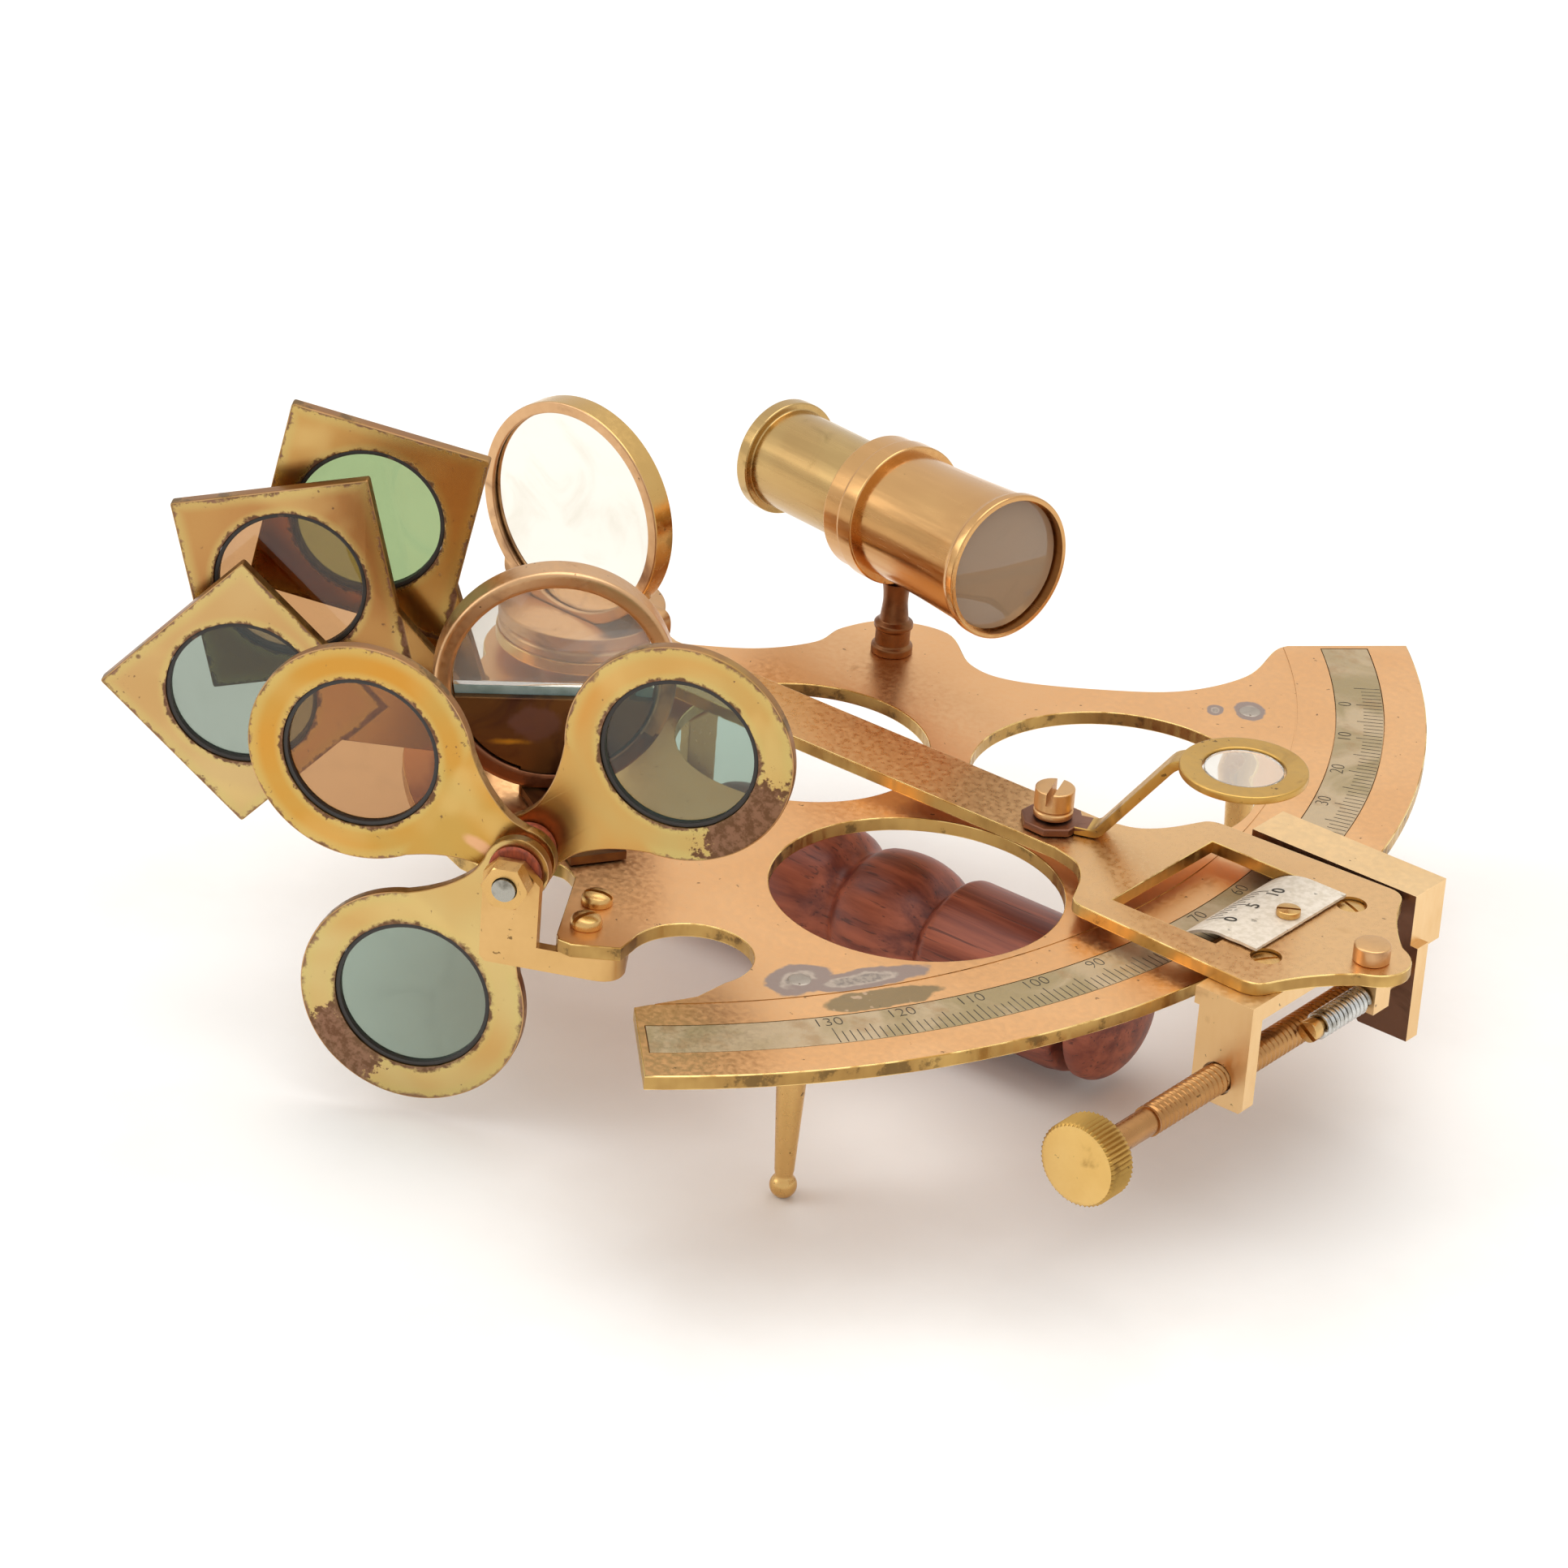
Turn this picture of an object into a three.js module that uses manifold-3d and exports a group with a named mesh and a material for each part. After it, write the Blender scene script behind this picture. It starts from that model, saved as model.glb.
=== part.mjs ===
// Nautical sextant: a brass limb on three legs, with an index arm, two mirrors, six sun shades,
// a small telescope, a reading lens and a tangent screw.
// Millimetres, +Z up. The Z axis is the pivot of the index arm and the floor is z = 0.
// +X runs from the pivot to the middle of the arc, and the telescope stands on the +Y limb.

import * as THREE from 'three';
import { mergeVertices } from 'three/addons/utils/BufferGeometryUtils.js';
import Module from 'manifold-3d';

const wasm = await Module();
wasm.setup();

// ---- Driving dimensions ----

const limbRadius = 150;
const arcHalfAngle = 46.3;
const arcInnerRadius = 128;
const plateTop = 41;
const plateThickness = 2.5;
const plateBottom = plateTop - plateThickness;
const gap = 0.3;

const middleHole = { x: 50.3, y: 0, r: 22.05 };
const bigHole = { x: 96.5, y: 28, r: 24.8 };
const frontCutout = { x: 84, y: -72.5, r: 10.3 };

const scaleInner = 134;
const scaleOuter = 142.4;
const scaleDepth = 0.6;
const scaleHalfAngle = 45.7;

const armThickness = 2.3;
const armBottom = plateTop + 2.35;
const armTop = armBottom + armThickness;
const armHalfWidth = 7;
const pivotDiscRadius = 15;
const spindleRadius = 3;

const windowInner = 126.8;
const windowOuter = 147.5;
const windowFront = -14.8;
const windowBack = 13.9;

const clampRestY = 22.5;
const clampWidth = 9.1;
const earThickness = 3.3;
const screwAxis = { x: 157, z: plateTop - 12.8 };
const pinAxis = { x: 161.6, z: plateTop - 10 };
const screwRadius = 2.65;
const pinRadius = 1.4;

const legs = [
  { name: 'leg_front', x: 101.8, y: -66.5 },
  { name: 'leg_back', x: 98.7, y: 66 },
];
const legBallRadius = 2.3;

const handleAxisZ = 14.5;
const handleRadius = 12.6;
const handleStart = 29;
const handleEnd = 114.7;
const handleCapStart = 117.3;
const handleCapEnd = 124.2;
const handleBore = 2.4;

const telescopePost = { x: 39.6, y: 39.1 };
const objectiveCentre = new THREE.Vector3(67.63, 32.64, plateTop + 28.56);
const telescopeAzimuth = -12.81;
const telescopeTilt = 3.37;

const indexMirrorCentreZ = plateTop + 27.9;
const indexMirrorRadius = 20.1;
const indexMirrorTurn = -1.9;

const horizonCentre = new THREE.Vector3(33, -47.8, plateTop + 22);
const horizonTurn = 42.7;
const horizonRadius = 20.45;
const horizonInner = 17.4;

const shadeBoltEnd = new THREE.Vector3(58.89, -90.86, plateTop + 8.98);
const shadeTurn = 24.24;
const shadeArm = 31.69;
const shadeOuter = 19.29;
const shadeAperture = 13.29;
const shadeThickness = 2;
const horizonShades = [
  { angle: 238.5, front: 7.61, colour: 0x4a534b },
  { angle: 153.4, front: 11.33, colour: 0x7a4a24 },
  { angle: 41.8, front: 17.08, colour: 0x5b6a60 },
];

const indexHinge = new THREE.Vector3(15.8, -53.3, plateTop + 8.8);
const indexShadeTurn = 31;
const indexShadeCentre = { x: 27.96, y: 23.5 };
const indexShadeHalfSide = 17.32;
const indexShades = [
  { angle: 136.8, front: 0, colour: 0x53605e },
  { angle: 104.3, front: 4.6, colour: 0x7a5026 },
  { angle: 79.2, front: 10.42, colour: 0x4f7050 },
];

const magnifierPivot = { x: 103.8, y: -0.6 };
const magnifierTurn = 20.5;
const magnifierReach = 31.7;
const magnifierRingZ = plateTop + 22.6;

const bracketScrews = [[62, -70], [65.7, -77.2]];
const armScrews = [[156, -12.45], [156, 12.45]];
const vernierScrewX = 151.3;
const vernierThickness = 0.8;
const vernierTop = armTop + vernierThickness;
const armStud = { x: 169, y: -1 };

// ---- Materials ----

const metal = (color, roughness) => new THREE.MeshStandardMaterial({ color, roughness, metalness: 1 });
const plain = (color, roughness) => new THREE.MeshStandardMaterial({ color, roughness, metalness: 0 });
const brass = metal(0xc9974f, 0.4);
const yellowBrass = metal(0xd2b064, 0.35);
const brownBrass = metal(0x7d5434, 0.45);
const silver = metal(0xbdb9ae, 0.5);
const steel = metal(0xb9bdc2, 0.3);
const wood = plain(0x6e2f22, 0.45);
const fibre = plain(0xa8433a, 0.7);
const clearGlass = plain(0x9fa7a0, 0.08);
const mirrorGlass = metal(0xd8dcdc, 0.08);

// ---- Helpers ----

const radians = THREE.MathUtils.degToRad;
const smallSides = 12;
const ringSides = 24;

/** Turns a closed geometry into a manifold solid, with its faces pointing out. */
function solidOf(geometry) {
  const bare = geometry.clone();
  bare.deleteAttribute('normal');
  bare.deleteAttribute('uv');
  const merged = mergeVertices(bare);
  const corners = [];
  for (let i = 0; i < merged.index.count; i += 3) {
    const [a, b, c] = [0, 1, 2].map((k) => merged.index.getX(i + k));
    if (a !== b && b !== c && c !== a) corners.push(a, b, c);
  }
  const points = merged.attributes.position;
  const [p, q, r] = [new THREE.Vector3(), new THREE.Vector3(), new THREE.Vector3()];
  let volume = 0;
  for (let i = 0; i < corners.length; i += 3) {
    p.fromBufferAttribute(points, corners[i]);
    q.fromBufferAttribute(points, corners[i + 1]);
    r.fromBufferAttribute(points, corners[i + 2]);
    volume += p.dot(q.cross(r));
  }
  if (volume < 0) corners.reverse();
  return new wasm.Manifold(new wasm.Mesh({
    numProp: 3,
    vertProperties: Float32Array.from(points.array),
    triVerts: Uint32Array.from(corners),
  }));
}

/** Turns a manifold solid back into a geometry. */
function geometryOf(solid) {
  const mesh = solid.getMesh();
  const geometry = new THREE.BufferGeometry();
  geometry.setAttribute('position', new THREE.BufferAttribute(Float32Array.from(mesh.vertProperties), 3));
  geometry.setIndex(new THREE.BufferAttribute(Uint32Array.from(mesh.triVerts), 1));
  geometry.computeVertexNormals();
  return geometry;
}

const joined = (...geometries) => geometries.map(solidOf).reduce((whole, part) => whole.add(part));
const cut = (solid, ...tools) => tools.map(solidOf).reduce((whole, tool) => whole.subtract(tool), solid);

/** A flat shape made into a plate between two heights. */
function slab(shape, low, high, curveSegments = 12) {
  const geometry = new THREE.ExtrudeGeometry(shape, {
    depth: high - low, bevelEnabled: false, curveSegments,
  });
  return geometry.translate(0, 0, low);
}

/** A shape drawn in X and Z, made into an upright plate between two Y values. */
function uprightSlab(shape, front, back, curveSegments = 12) {
  return slab(shape, -back, -front, curveSegments).rotateX(Math.PI / 2);
}

/** An upright round bar between two heights. */
function bar(x, y, low, high, radius, sides = smallSides) {
  return new THREE.CylinderGeometry(radius, radius, high - low, sides)
    .rotateX(Math.PI / 2)
    .translate(x, y, (low + high) / 2);
}

/** A round bar along Y. */
function barAlongY(x, z, front, back, radius, sides = smallSides) {
  return new THREE.CylinderGeometry(radius, radius, back - front, sides)
    .translate(x, (front + back) / 2, z);
}

/** A box between two corners. */
function block(x0, x1, y0, y1, z0, z1) {
  return new THREE.BoxGeometry(x1 - x0, y1 - y0, z1 - z0)
    .translate((x0 + x1) / 2, (y0 + y1) / 2, (z0 + z1) / 2);
}

/** A profile of [radius, height] pairs turned about the Z axis. */
function turned(profile, sides = smallSides) {
  const points = profile.map(([radius, height]) => new THREE.Vector2(radius, height));
  return new THREE.LatheGeometry(points, sides).rotateX(Math.PI / 2);
}

/** A closed ring profile of [radius, height] pairs turned about the Z axis. */
function turnedRing(profile, sides = ringSides) {
  return turned([...profile, profile[0]], sides);
}

/** Carries an outline on along a smooth curve through points, with a few steps for each point. */
function curveOn(shape, points, stepsEach = 3) {
  const start = shape.currentPoint.clone();
  const curve = new THREE.SplineCurve([start, ...points]);
  curve.getPoints(stepsEach * points.length).slice(1).forEach((p) => shape.lineTo(p.x, p.y));
}

function circleShape(x, y, radius) {
  return new THREE.Shape().absarc(x, y, radius, 0, 2 * Math.PI, false);
}

/** The outline of one side of a piece, repeated on its other side across the X axis. */
function mirroredShape(halfPath, divisions) {
  const upper = halfPath.getPoints(divisions);
  const lower = upper.slice(1, -1).map((p) => new THREE.Vector2(p.x, -p.y)).reverse();
  return new THREE.Shape([...upper, ...lower]);
}

const sextant = new THREE.Group();

function add(name, shape, material, parent = sextant) {
  const geometry = geometryOf(shape.isBufferGeometry ? solidOf(shape) : shape);
  const mesh = new THREE.Mesh(geometry, material);
  mesh.name = name;
  parent.add(mesh);
  return mesh;
}

/** A group at a point, turned about its own upright axis. */
function turnedGroup(origin, turn, parent = sextant) {
  const group = new THREE.Group();
  group.position.copy(origin);
  group.rotation.z = radians(turn);
  parent.add(group);
  return group;
}

// ---- Frame ----

/** The outline of the limb: the arc, the back limb, the rounded apex and the front limb. */
function frameOutline() {
  const half = radians(arcHalfAngle);
  const polar = (radius, angle) => new THREE.Vector2(radius * Math.cos(angle), radius * Math.sin(angle));
  const v = (x, y) => new THREE.Vector2(x, y);
  const shape = new THREE.Shape();
  shape.absarc(0, 0, limbRadius, -half, half, false);
  const backEnd = polar(arcInnerRadius, half);
  shape.lineTo(backEnd.x, backEnd.y);
  curveOn(shape, [
    v(88, 89), v(90.2, 77), v(85.5, 64), v(75, 54), v(62, 45.5), v(53, 45),
    v(42.5, 52), v(32, 48.5), v(27.8, 40), v(27.8, 32), v(22, 22.3), v(11.5, 14),
  ]);
  const apexRadius = 17;
  shape.absarc(0, 0, apexRadius, radians(70), radians(232), false);
  curveOn(shape, [v(-5, -30), v(2, -49), v(14, -62), v(27, -70.5)]);
  shape.lineTo(35.8, -73.9);
  shape.lineTo(40.8, -74.1);
  curveOn(shape, [v(44.5, -67), v(49.6, -64.3), v(54, -66)]);
  shape.lineTo(64.2, -83);
  shape.lineTo(65.5, -84);
  shape.lineTo(68, -83.9);
  shape.lineTo(74.7, -79.1);
  shape.absarc(frontCutout.x, frontCutout.y, frontCutout.r, radians(195), radians(-18), true);
  shape.lineTo(93.4, -82.5);
  const frontEnd = polar(arcInnerRadius, -half);
  shape.lineTo(frontEnd.x, frontEnd.y);
  shape.closePath();
  return shape;
}

/** A band of the arc between two radii. */
function arcBand(inner, outer, halfAngle) {
  const half = radians(halfAngle);
  const shape = new THREE.Shape();
  shape.absarc(0, 0, outer, -half, half, false);
  shape.absarc(0, 0, inner, half, -half, true);
  shape.closePath();
  return shape;
}

function framePlate() {
  const shape = frameOutline();
  shape.holes.push(circleShape(middleHole.x, middleHole.y, middleHole.r));
  for (const side of [-1, 1]) shape.holes.push(circleShape(bigHole.x, side * bigHole.y, bigHole.r));
  const groove = slab(arcBand(scaleInner - gap / 2, scaleOuter + gap / 2, scaleHalfAngle + 0.1),
    plateTop - scaleDepth, plateTop + 1, 12);
  const drilled = [
    ...legs.map((leg) => bar(leg.x, leg.y, plateBottom - 1, plateTop + 1, 2.2)),
    ...bracketScrews.map(([x, y]) => bar(x, y, plateBottom - 1, plateTop + 1, 1.7)),
    bar(telescopePost.x, telescopePost.y, plateBottom - 1, plateTop + 1, 2.2),
    bar(0, 0, plateBottom - 1, armBottom + 1, spindleRadius + 0.1),
  ];
  const plate = joined(slab(shape, plateBottom, plateTop, 12), bar(0, 0, plateBottom + 1, armBottom, 8));
  return cut(plate, groove, ...drilled);
}

/** A tapered leg with a rivet through the plate and a ball foot. */
function leg(x, y) {
  const ball = [];
  for (let angle = -90; angle <= 45; angle += 45) {
    ball.push([
      legBallRadius * Math.cos(radians(angle)),
      legBallRadius * (1 + Math.sin(radians(angle))),
    ]);
  }
  ball[0][0] = 0;
  const profile = [
    ...ball, [1.5, 5], [3.3, plateBottom], [2.0, plateBottom], [2.0, plateTop + 0.15], [0, plateTop + 0.15],
  ];
  return turned(profile).translate(x, y, 0);
}

add('frame_plate', framePlate(), brass);
add('scale_arc', slab(arcBand(scaleInner, scaleOuter, scaleHalfAngle), plateTop - scaleDepth, plateTop, 12), silver);
for (const { name, x, y } of legs) add(name, leg(x, y), yellowBrass);

const spindleHeadBottom = plateBottom - 3;
add('leg_apex', turned([[0, 0], [4, 0], [4, 2], [2, 5], [3.2, spindleHeadBottom], [0, spindleHeadBottom]]), yellowBrass);
add('pivot_spindle', turned([
  [0, spindleHeadBottom], [7, spindleHeadBottom], [7, plateBottom], [spindleRadius, plateBottom],
  [spindleRadius, armTop - 0.2], [0, armTop - 0.2],
]), steel);

// ---- Handle ----

/** A turned wooden grip with finger swells, bored through for its rod. */
function handleGrip() {
  const groove = handleRadius - 2;
  const profile = [
    [handleBore, 0], [8.5, 0], [handleRadius, 9], [groove, 17.5], [handleRadius, 26], [groove, 36],
    [handleRadius, 45], [groove, 55], [handleRadius, 57], [handleRadius, 83],
    [12, handleEnd - handleStart], [handleBore, handleEnd - handleStart],
  ];
  return turnedRing(profile, 18).rotateY(Math.PI / 2).translate(handleStart, 0, handleAxisZ);
}

/** The grip's domed outer end, with a blind hole for the rod. */
function handleCap() {
  const rim = 11.8;
  const straight = 1.2;
  const holeDepth = 4;
  const rise = handleCapEnd - handleCapStart - straight;
  const profile = [[0, holeDepth], [handleBore, holeDepth], [handleBore, 0], [rim, 0]];
  const steps = 8;
  for (let i = 0; i < steps; i += 1) {
    const angle = radians(90 * i / steps);
    profile.push([rim * Math.cos(angle), straight + rise * Math.sin(angle)]);
  }
  profile.push([0, straight + rise]);
  return turned(profile).rotateY(Math.PI / 2).translate(handleCapStart, 0, handleAxisZ);
}

/** A flat brass strip with a foot under the plate and a leg down to one end of the grip. */
function handleBracket(footStart, footEnd, legStart, legEnd) {
  const halfWidth = 4;
  const footThickness = 2;
  const legBottom = handleAxisZ - 5;
  const strip = joined(
    block(footStart, footEnd, -halfWidth, halfWidth, plateBottom - footThickness, plateBottom),
    block(legStart, legEnd, -halfWidth, halfWidth, legBottom, plateBottom),
  );
  const hole = new THREE.CylinderGeometry(2.3, 2.3, 10, smallSides)
    .rotateZ(Math.PI / 2).translate((legStart + legEnd) / 2, 0, handleAxisZ);
  return cut(strip, hole);
}

add('handle_grip', handleGrip(), wood);
add('handle_cap', handleCap(), wood);
add('handle_bracket_inner', handleBracket(16, 28.7, 26.7, 28.7), brass);
add('handle_bracket_outer', handleBracket(105, 117, 115, 117), brass);
const handleRodRadius = 2;
const handleRodHead = 3.6;
const rodStart = 24.6;
const rodEnd = 121;
add('handle_rod', turned([
  [0, rodStart], [handleRodHead, rodStart], [handleRodHead, rodStart + 2], [handleRodRadius, rodStart + 2],
  [handleRodRadius, rodEnd], [0, rodEnd],
]).rotateY(Math.PI / 2).translate(0, 0, handleAxisZ), brass);

// ---- Telescope ----

const telescopeHolderHeight = 67.9 - 12.8 - gap;
add('telescope_post', turned([
  [0, 35.5], [4, 35.5], [4, plateBottom], [2, plateBottom], [2, plateTop], [3.7, plateTop], [3.7, plateTop + 1.4],
  [3.1, plateTop + 1.8], [3.1, plateTop + 4.6], [3.5, plateTop + 5], [3.5, plateTop + 5.8],
  [2.6, plateTop + 6.4], [2.2, telescopeHolderHeight - 1], [2.6, telescopeHolderHeight], [0, telescopeHolderHeight],
]).translate(telescopePost.x, telescopePost.y, 0), brownBrass);

/** Local Z of this group runs back along the telescope from the objective's rim. */
const telescope = new THREE.Group();
telescope.position.copy(objectiveCentre);
telescope.rotation.set(0, radians(-90 - telescopeTilt), radians(telescopeAzimuth), 'ZYX');
sextant.add(telescope);

const drawRadius = 9.1;
const drawStart = 24.5;
const flangeStart = 60;
const telescopeEnd = 62.6;
add('telescope_tube', turnedRing([
  [13.12, 0], [13.12, 1.8], [12.6, 2.4], [12, 10], [11.5, 20], [11.4, 27.9], [12.8, 27.9], [12.8, 31.5],
  [12.3, 31.9], [12.3, 36], [drawRadius + gap, 36], [drawRadius + gap, 24], [10.2, 22], [10.8, 3.2],
  [12.2, 3.2], [12.2, 0],
]), brass, telescope);
add('objective_lens', turned([[0, 1.3], [11.85, 1.3], [11.85, 2.8], [0, 2.8]], 24), clearGlass, telescope);
add('draw_tube', turnedRing([
  [drawRadius, drawStart], [drawRadius, flangeStart], [10.43, flangeStart], [10.43, telescopeEnd],
  [6.7, telescopeEnd], [6.7, flangeStart + 0.6], [5.6, flangeStart], [8.3, flangeStart - 1.2], [8.3, drawStart],
]), yellowBrass, telescope);
add('eyepiece_lens', turned([
  [0, flangeStart + 0.95], [6.35, flangeStart + 0.95], [6.35, telescopeEnd - 0.5], [0, telescopeEnd - 0.5],
], 24), clearGlass, telescope);

// ---- Index arm ----

function armOutline() {
  const half = new THREE.Path();
  const neck = Math.asin(armHalfWidth / pivotDiscRadius);
  half.absarc(0, 0, pivotDiscRadius, Math.PI, neck, true);
  half.lineTo(109, armHalfWidth);
  half.bezierCurveTo(116, 8, 119, 13, 121.3, 18.5);
  half.quadraticCurveTo(122, 20.2, 124.5, 20.4);
  half.lineTo(157.5, 22);
  half.quadraticCurveTo(160.2, 22, 161.4, 19.5);
  half.quadraticCurveTo(164.5, 12, 170.5, 6.2);
  half.quadraticCurveTo(175.2, 4, 175.2, 0);
  return mirroredShape(half, 4);
}

function indexArm() {
  const drilled = [
    bar(0, 0, armBottom - 1, armTop + 1, spindleRadius + 0.1),
    bar(magnifierPivot.x, magnifierPivot.y, armBottom - 1, armTop + 1, 1.7),
    bar(vernierScrewX, 0.6, armBottom - 1, armTop + 1, 1.3),
    bar(armStud.x, armStud.y, armBottom - 1, armTop + 1, 1.5),
    ...armScrews.map(([x, y]) => bar(x, y, armBottom - 1, armTop + 1, 1.6)),
    ...armScrews.map(([x, y]) => bar(x, y, armTop - 1, armTop + 1, 2.45)),
  ];
  const opening = block(windowInner, windowOuter, windowFront, windowBack, armBottom - 1, armTop + 1);
  return cut(solidOf(slab(armOutline(), armBottom, armTop, 5)), opening, ...drilled);
}

/** The silvered vernier: screwed flat on the arm, then bent down through the window to the scale. */
function vernierScale() {
  const tipX = 138.8;
  const tipZ = plateTop + 0.9;
  const profile = new THREE.Shape([
    [154.2, armTop], [154.2, vernierTop], [147.9, vernierTop], [144.6, armTop + 0.15], [142, armTop - 0.85],
    [tipX, tipZ + vernierThickness], [tipX, tipZ], [142, armTop - 1.8], [144.6, armTop - 0.7], [147.3, armTop],
  ].map(([x, z]) => new THREE.Vector2(x, z)));
  const hole = bar(vernierScrewX, 0.6, armTop - 1, armTop + 2, 1.3);
  return cut(solidOf(uprightSlab(profile, -12.7, 13.5)), hole);
}

add('index_arm', indexArm(), brass);
add('vernier_scale', vernierScale(), silver);
add('vernier_screw', turned([
  [0, armBottom + 0.2], [1.1, armBottom + 0.2], [1.1, vernierTop], [2.05, vernierTop], [2.05, vernierTop + 1.1],
  [0, vernierTop + 1.1],
]).translate(vernierScrewX, 0.6, 0), yellowBrass);
armScrews.forEach(([x, y], index) => {
  add(index === 0 ? 'arm_screw_front' : 'arm_screw_back', turned([
    [0, armBottom - 3], [1.3, armBottom - 3], [1.3, armTop - 0.9], [2.35, armTop - 0.9], [2.35, armTop], [0, armTop],
  ]).translate(x, y, 0), yellowBrass);
});
add('arm_stud', turned([
  [0, armBottom + 0.2], [1.3, armBottom + 0.2], [1.3, armTop], [3.1, armTop], [3.1, armTop + 3], [0, armTop + 3],
]).translate(armStud.x, armStud.y, 0), brass);

/** Held under the arm: a plate, the ear that the tangent screw threads through, and the spring's tang. */
function nutBracket() {
  const inner = limbRadius + 1.2;
  const outer = 162.6;
  const plateLow = armBottom - 3.2;
  const body = joined(
    block(inner, outer, -25.1, 16, plateLow, armBottom),
    block(inner + 1, outer, -25.1, -22, 23.5, plateLow + 1),
    block(160, 164.2, 10, 14.6, pinAxis.z - 2.3, armBottom),
  );
  return cut(body,
    barAlongY(screwAxis.x, screwAxis.z, -27, -20, screwRadius + 0.3),
    barAlongY(pinAxis.x, pinAxis.z, 8, 16, pinRadius + 0.35),
    ...armScrews.map(([x, y]) => bar(x, y, plateLow - 1, armBottom + 1, 1.6)));
}

add('nut_bracket', nutBracket(), brass);

// ---- Tangent screw and clamp ----

const knobFront = -64;
const knobBack = -58;
const screwTip = clampRestY - gap;
add('tangent_screw', joined(
  barAlongY(screwAxis.x, screwAxis.z, knobFront - 0.6, -50, 2),
  barAlongY(screwAxis.x, screwAxis.z, -50.5, screwTip, screwRadius),
), brownBrass);
add('tangent_knob', cut(
  solidOf(barAlongY(screwAxis.x, screwAxis.z, knobFront, knobBack, 7.3, 32)),
  barAlongY(screwAxis.x, screwAxis.z, knobFront - 1, knobBack + 1, 2.3),
), yellowBrass);

/** A C-shaped block that grips the limb, with an ear that the tangent screw pushes. */
function clampBlock() {
  const y0 = clampRestY;
  const y1 = clampRestY + clampWidth;
  const wallInner = limbRadius + 1;
  const outer = 162.3;
  const jawLow = plateTop - 6.7;
  const body = joined(
    block(129, outer, y0, y1, plateTop + gap, armTop),
    block(wallInner, outer, y0, y1, jawLow, armTop),
    block(134, outer, y0, y1, jawLow, plateBottom - gap),
    block(wallInner + 0.5, 163.8, y0, y0 + earThickness, 18.4, jawLow + 2),
  );
  return cut(body,
    barAlongY(pinAxis.x, pinAxis.z, y0 - 1, y0 + earThickness + 1, pinRadius + 0.1),
    bar(clampScrewAt.x, clampScrewAt.y, jawLow - 1, plateBottom, 2.3));
}

const clampScrewAt = { x: 142, y: clampRestY + clampWidth / 2 };
add('clamp_block', clampBlock(), brass);
add('clamp_screw', turned([
  [0, 22], [6, 22], [6, 26.5], [2, 27], [2, plateBottom - 0.1], [0, plateBottom - 0.1],
], 24).translate(clampScrewAt.x, clampScrewAt.y, 0), yellowBrass);

const pinHeadFront = -6;
const springFront = -3.9;
const springBack = 9.9;
add('spring_pin', joined(
  barAlongY(pinAxis.x, pinAxis.z, pinHeadFront, springFront, 1.95),
  barAlongY(pinAxis.x, pinAxis.z, springFront - 0.5, clampRestY + earThickness, pinRadius),
), brass);
add('tangent_spring', turnedRing([
  [1.65, springFront + 0.1], [2.3, springFront + 0.1], [2.3, springBack - 0.1], [1.65, springBack - 0.1],
]).rotateX(-Math.PI / 2).translate(pinAxis.x, 0, pinAxis.z), steel);

// ---- Index mirror, turned with the arm ----

const indexMirror = turnedGroup(new THREE.Vector3(0, 0, 0), indexMirrorTurn);
const mirrorRingFront = -5;
const mirrorRingBack = -0.5;
const mirrorBaseTop = plateTop + 9.2;

/** A round foot on the arm with a low back plate that holds the mirror's ring. */
function mirrorBase() {
  const corner = 4;
  const halfWidth = 18.8;
  const top = plateTop + 13.2;
  const shape = new THREE.Shape();
  shape.moveTo(-halfWidth, mirrorBaseTop - 2);
  shape.lineTo(halfWidth, mirrorBaseTop - 2);
  shape.lineTo(halfWidth, top - corner);
  shape.quadraticCurveTo(halfWidth, top, halfWidth - corner, top);
  shape.lineTo(-halfWidth + corner, top);
  shape.quadraticCurveTo(-halfWidth, top, -halfWidth, top - corner);
  shape.closePath();
  const ringSpace = barAlongY(0, indexMirrorCentreZ, mirrorRingFront - gap, mirrorRingBack + gap / 2,
    indexMirrorRadius + gap, ringSides);
  return cut(joined(
    bar(0, 0, armTop, mirrorBaseTop, 14.7, ringSides),
    uprightSlab(shape, 0, 2.2),
  ), ringSpace);
}

add('mirror_base', mirrorBase(), brass, indexMirror);
add('mirror_ring', turnedRing([
  [18.0, -mirrorRingFront], [indexMirrorRadius, -mirrorRingFront], [indexMirrorRadius, -mirrorRingBack],
  [18.9, -mirrorRingBack], [18.9, -mirrorRingFront - 0.8], [18.0, -mirrorRingFront - 0.8],
]).rotateX(Math.PI / 2).translate(0, 0, indexMirrorCentreZ), brass, indexMirror);
add('index_mirror', barAlongY(0, indexMirrorCentreZ, mirrorRingFront + 1.1, mirrorRingBack - 0.4, 18.6, ringSides),
  mirrorGlass, indexMirror);

// ---- Horizon glass ----

const horizon = turnedGroup(horizonCentre, horizonTurn);
const horizonDepth = 5.5;
const backingTop = -3.4;
const backingFront = 0.6;
const backingBack = 2.3;

/** The part of a disc below a level line. */
function discBelow(radius, level) {
  const start = Math.asin(level / radius);
  const shape = new THREE.Shape();
  shape.absarc(0, 0, radius, Math.PI - start, 2 * Math.PI + start, false);
  shape.closePath();
  return shape;
}

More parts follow.
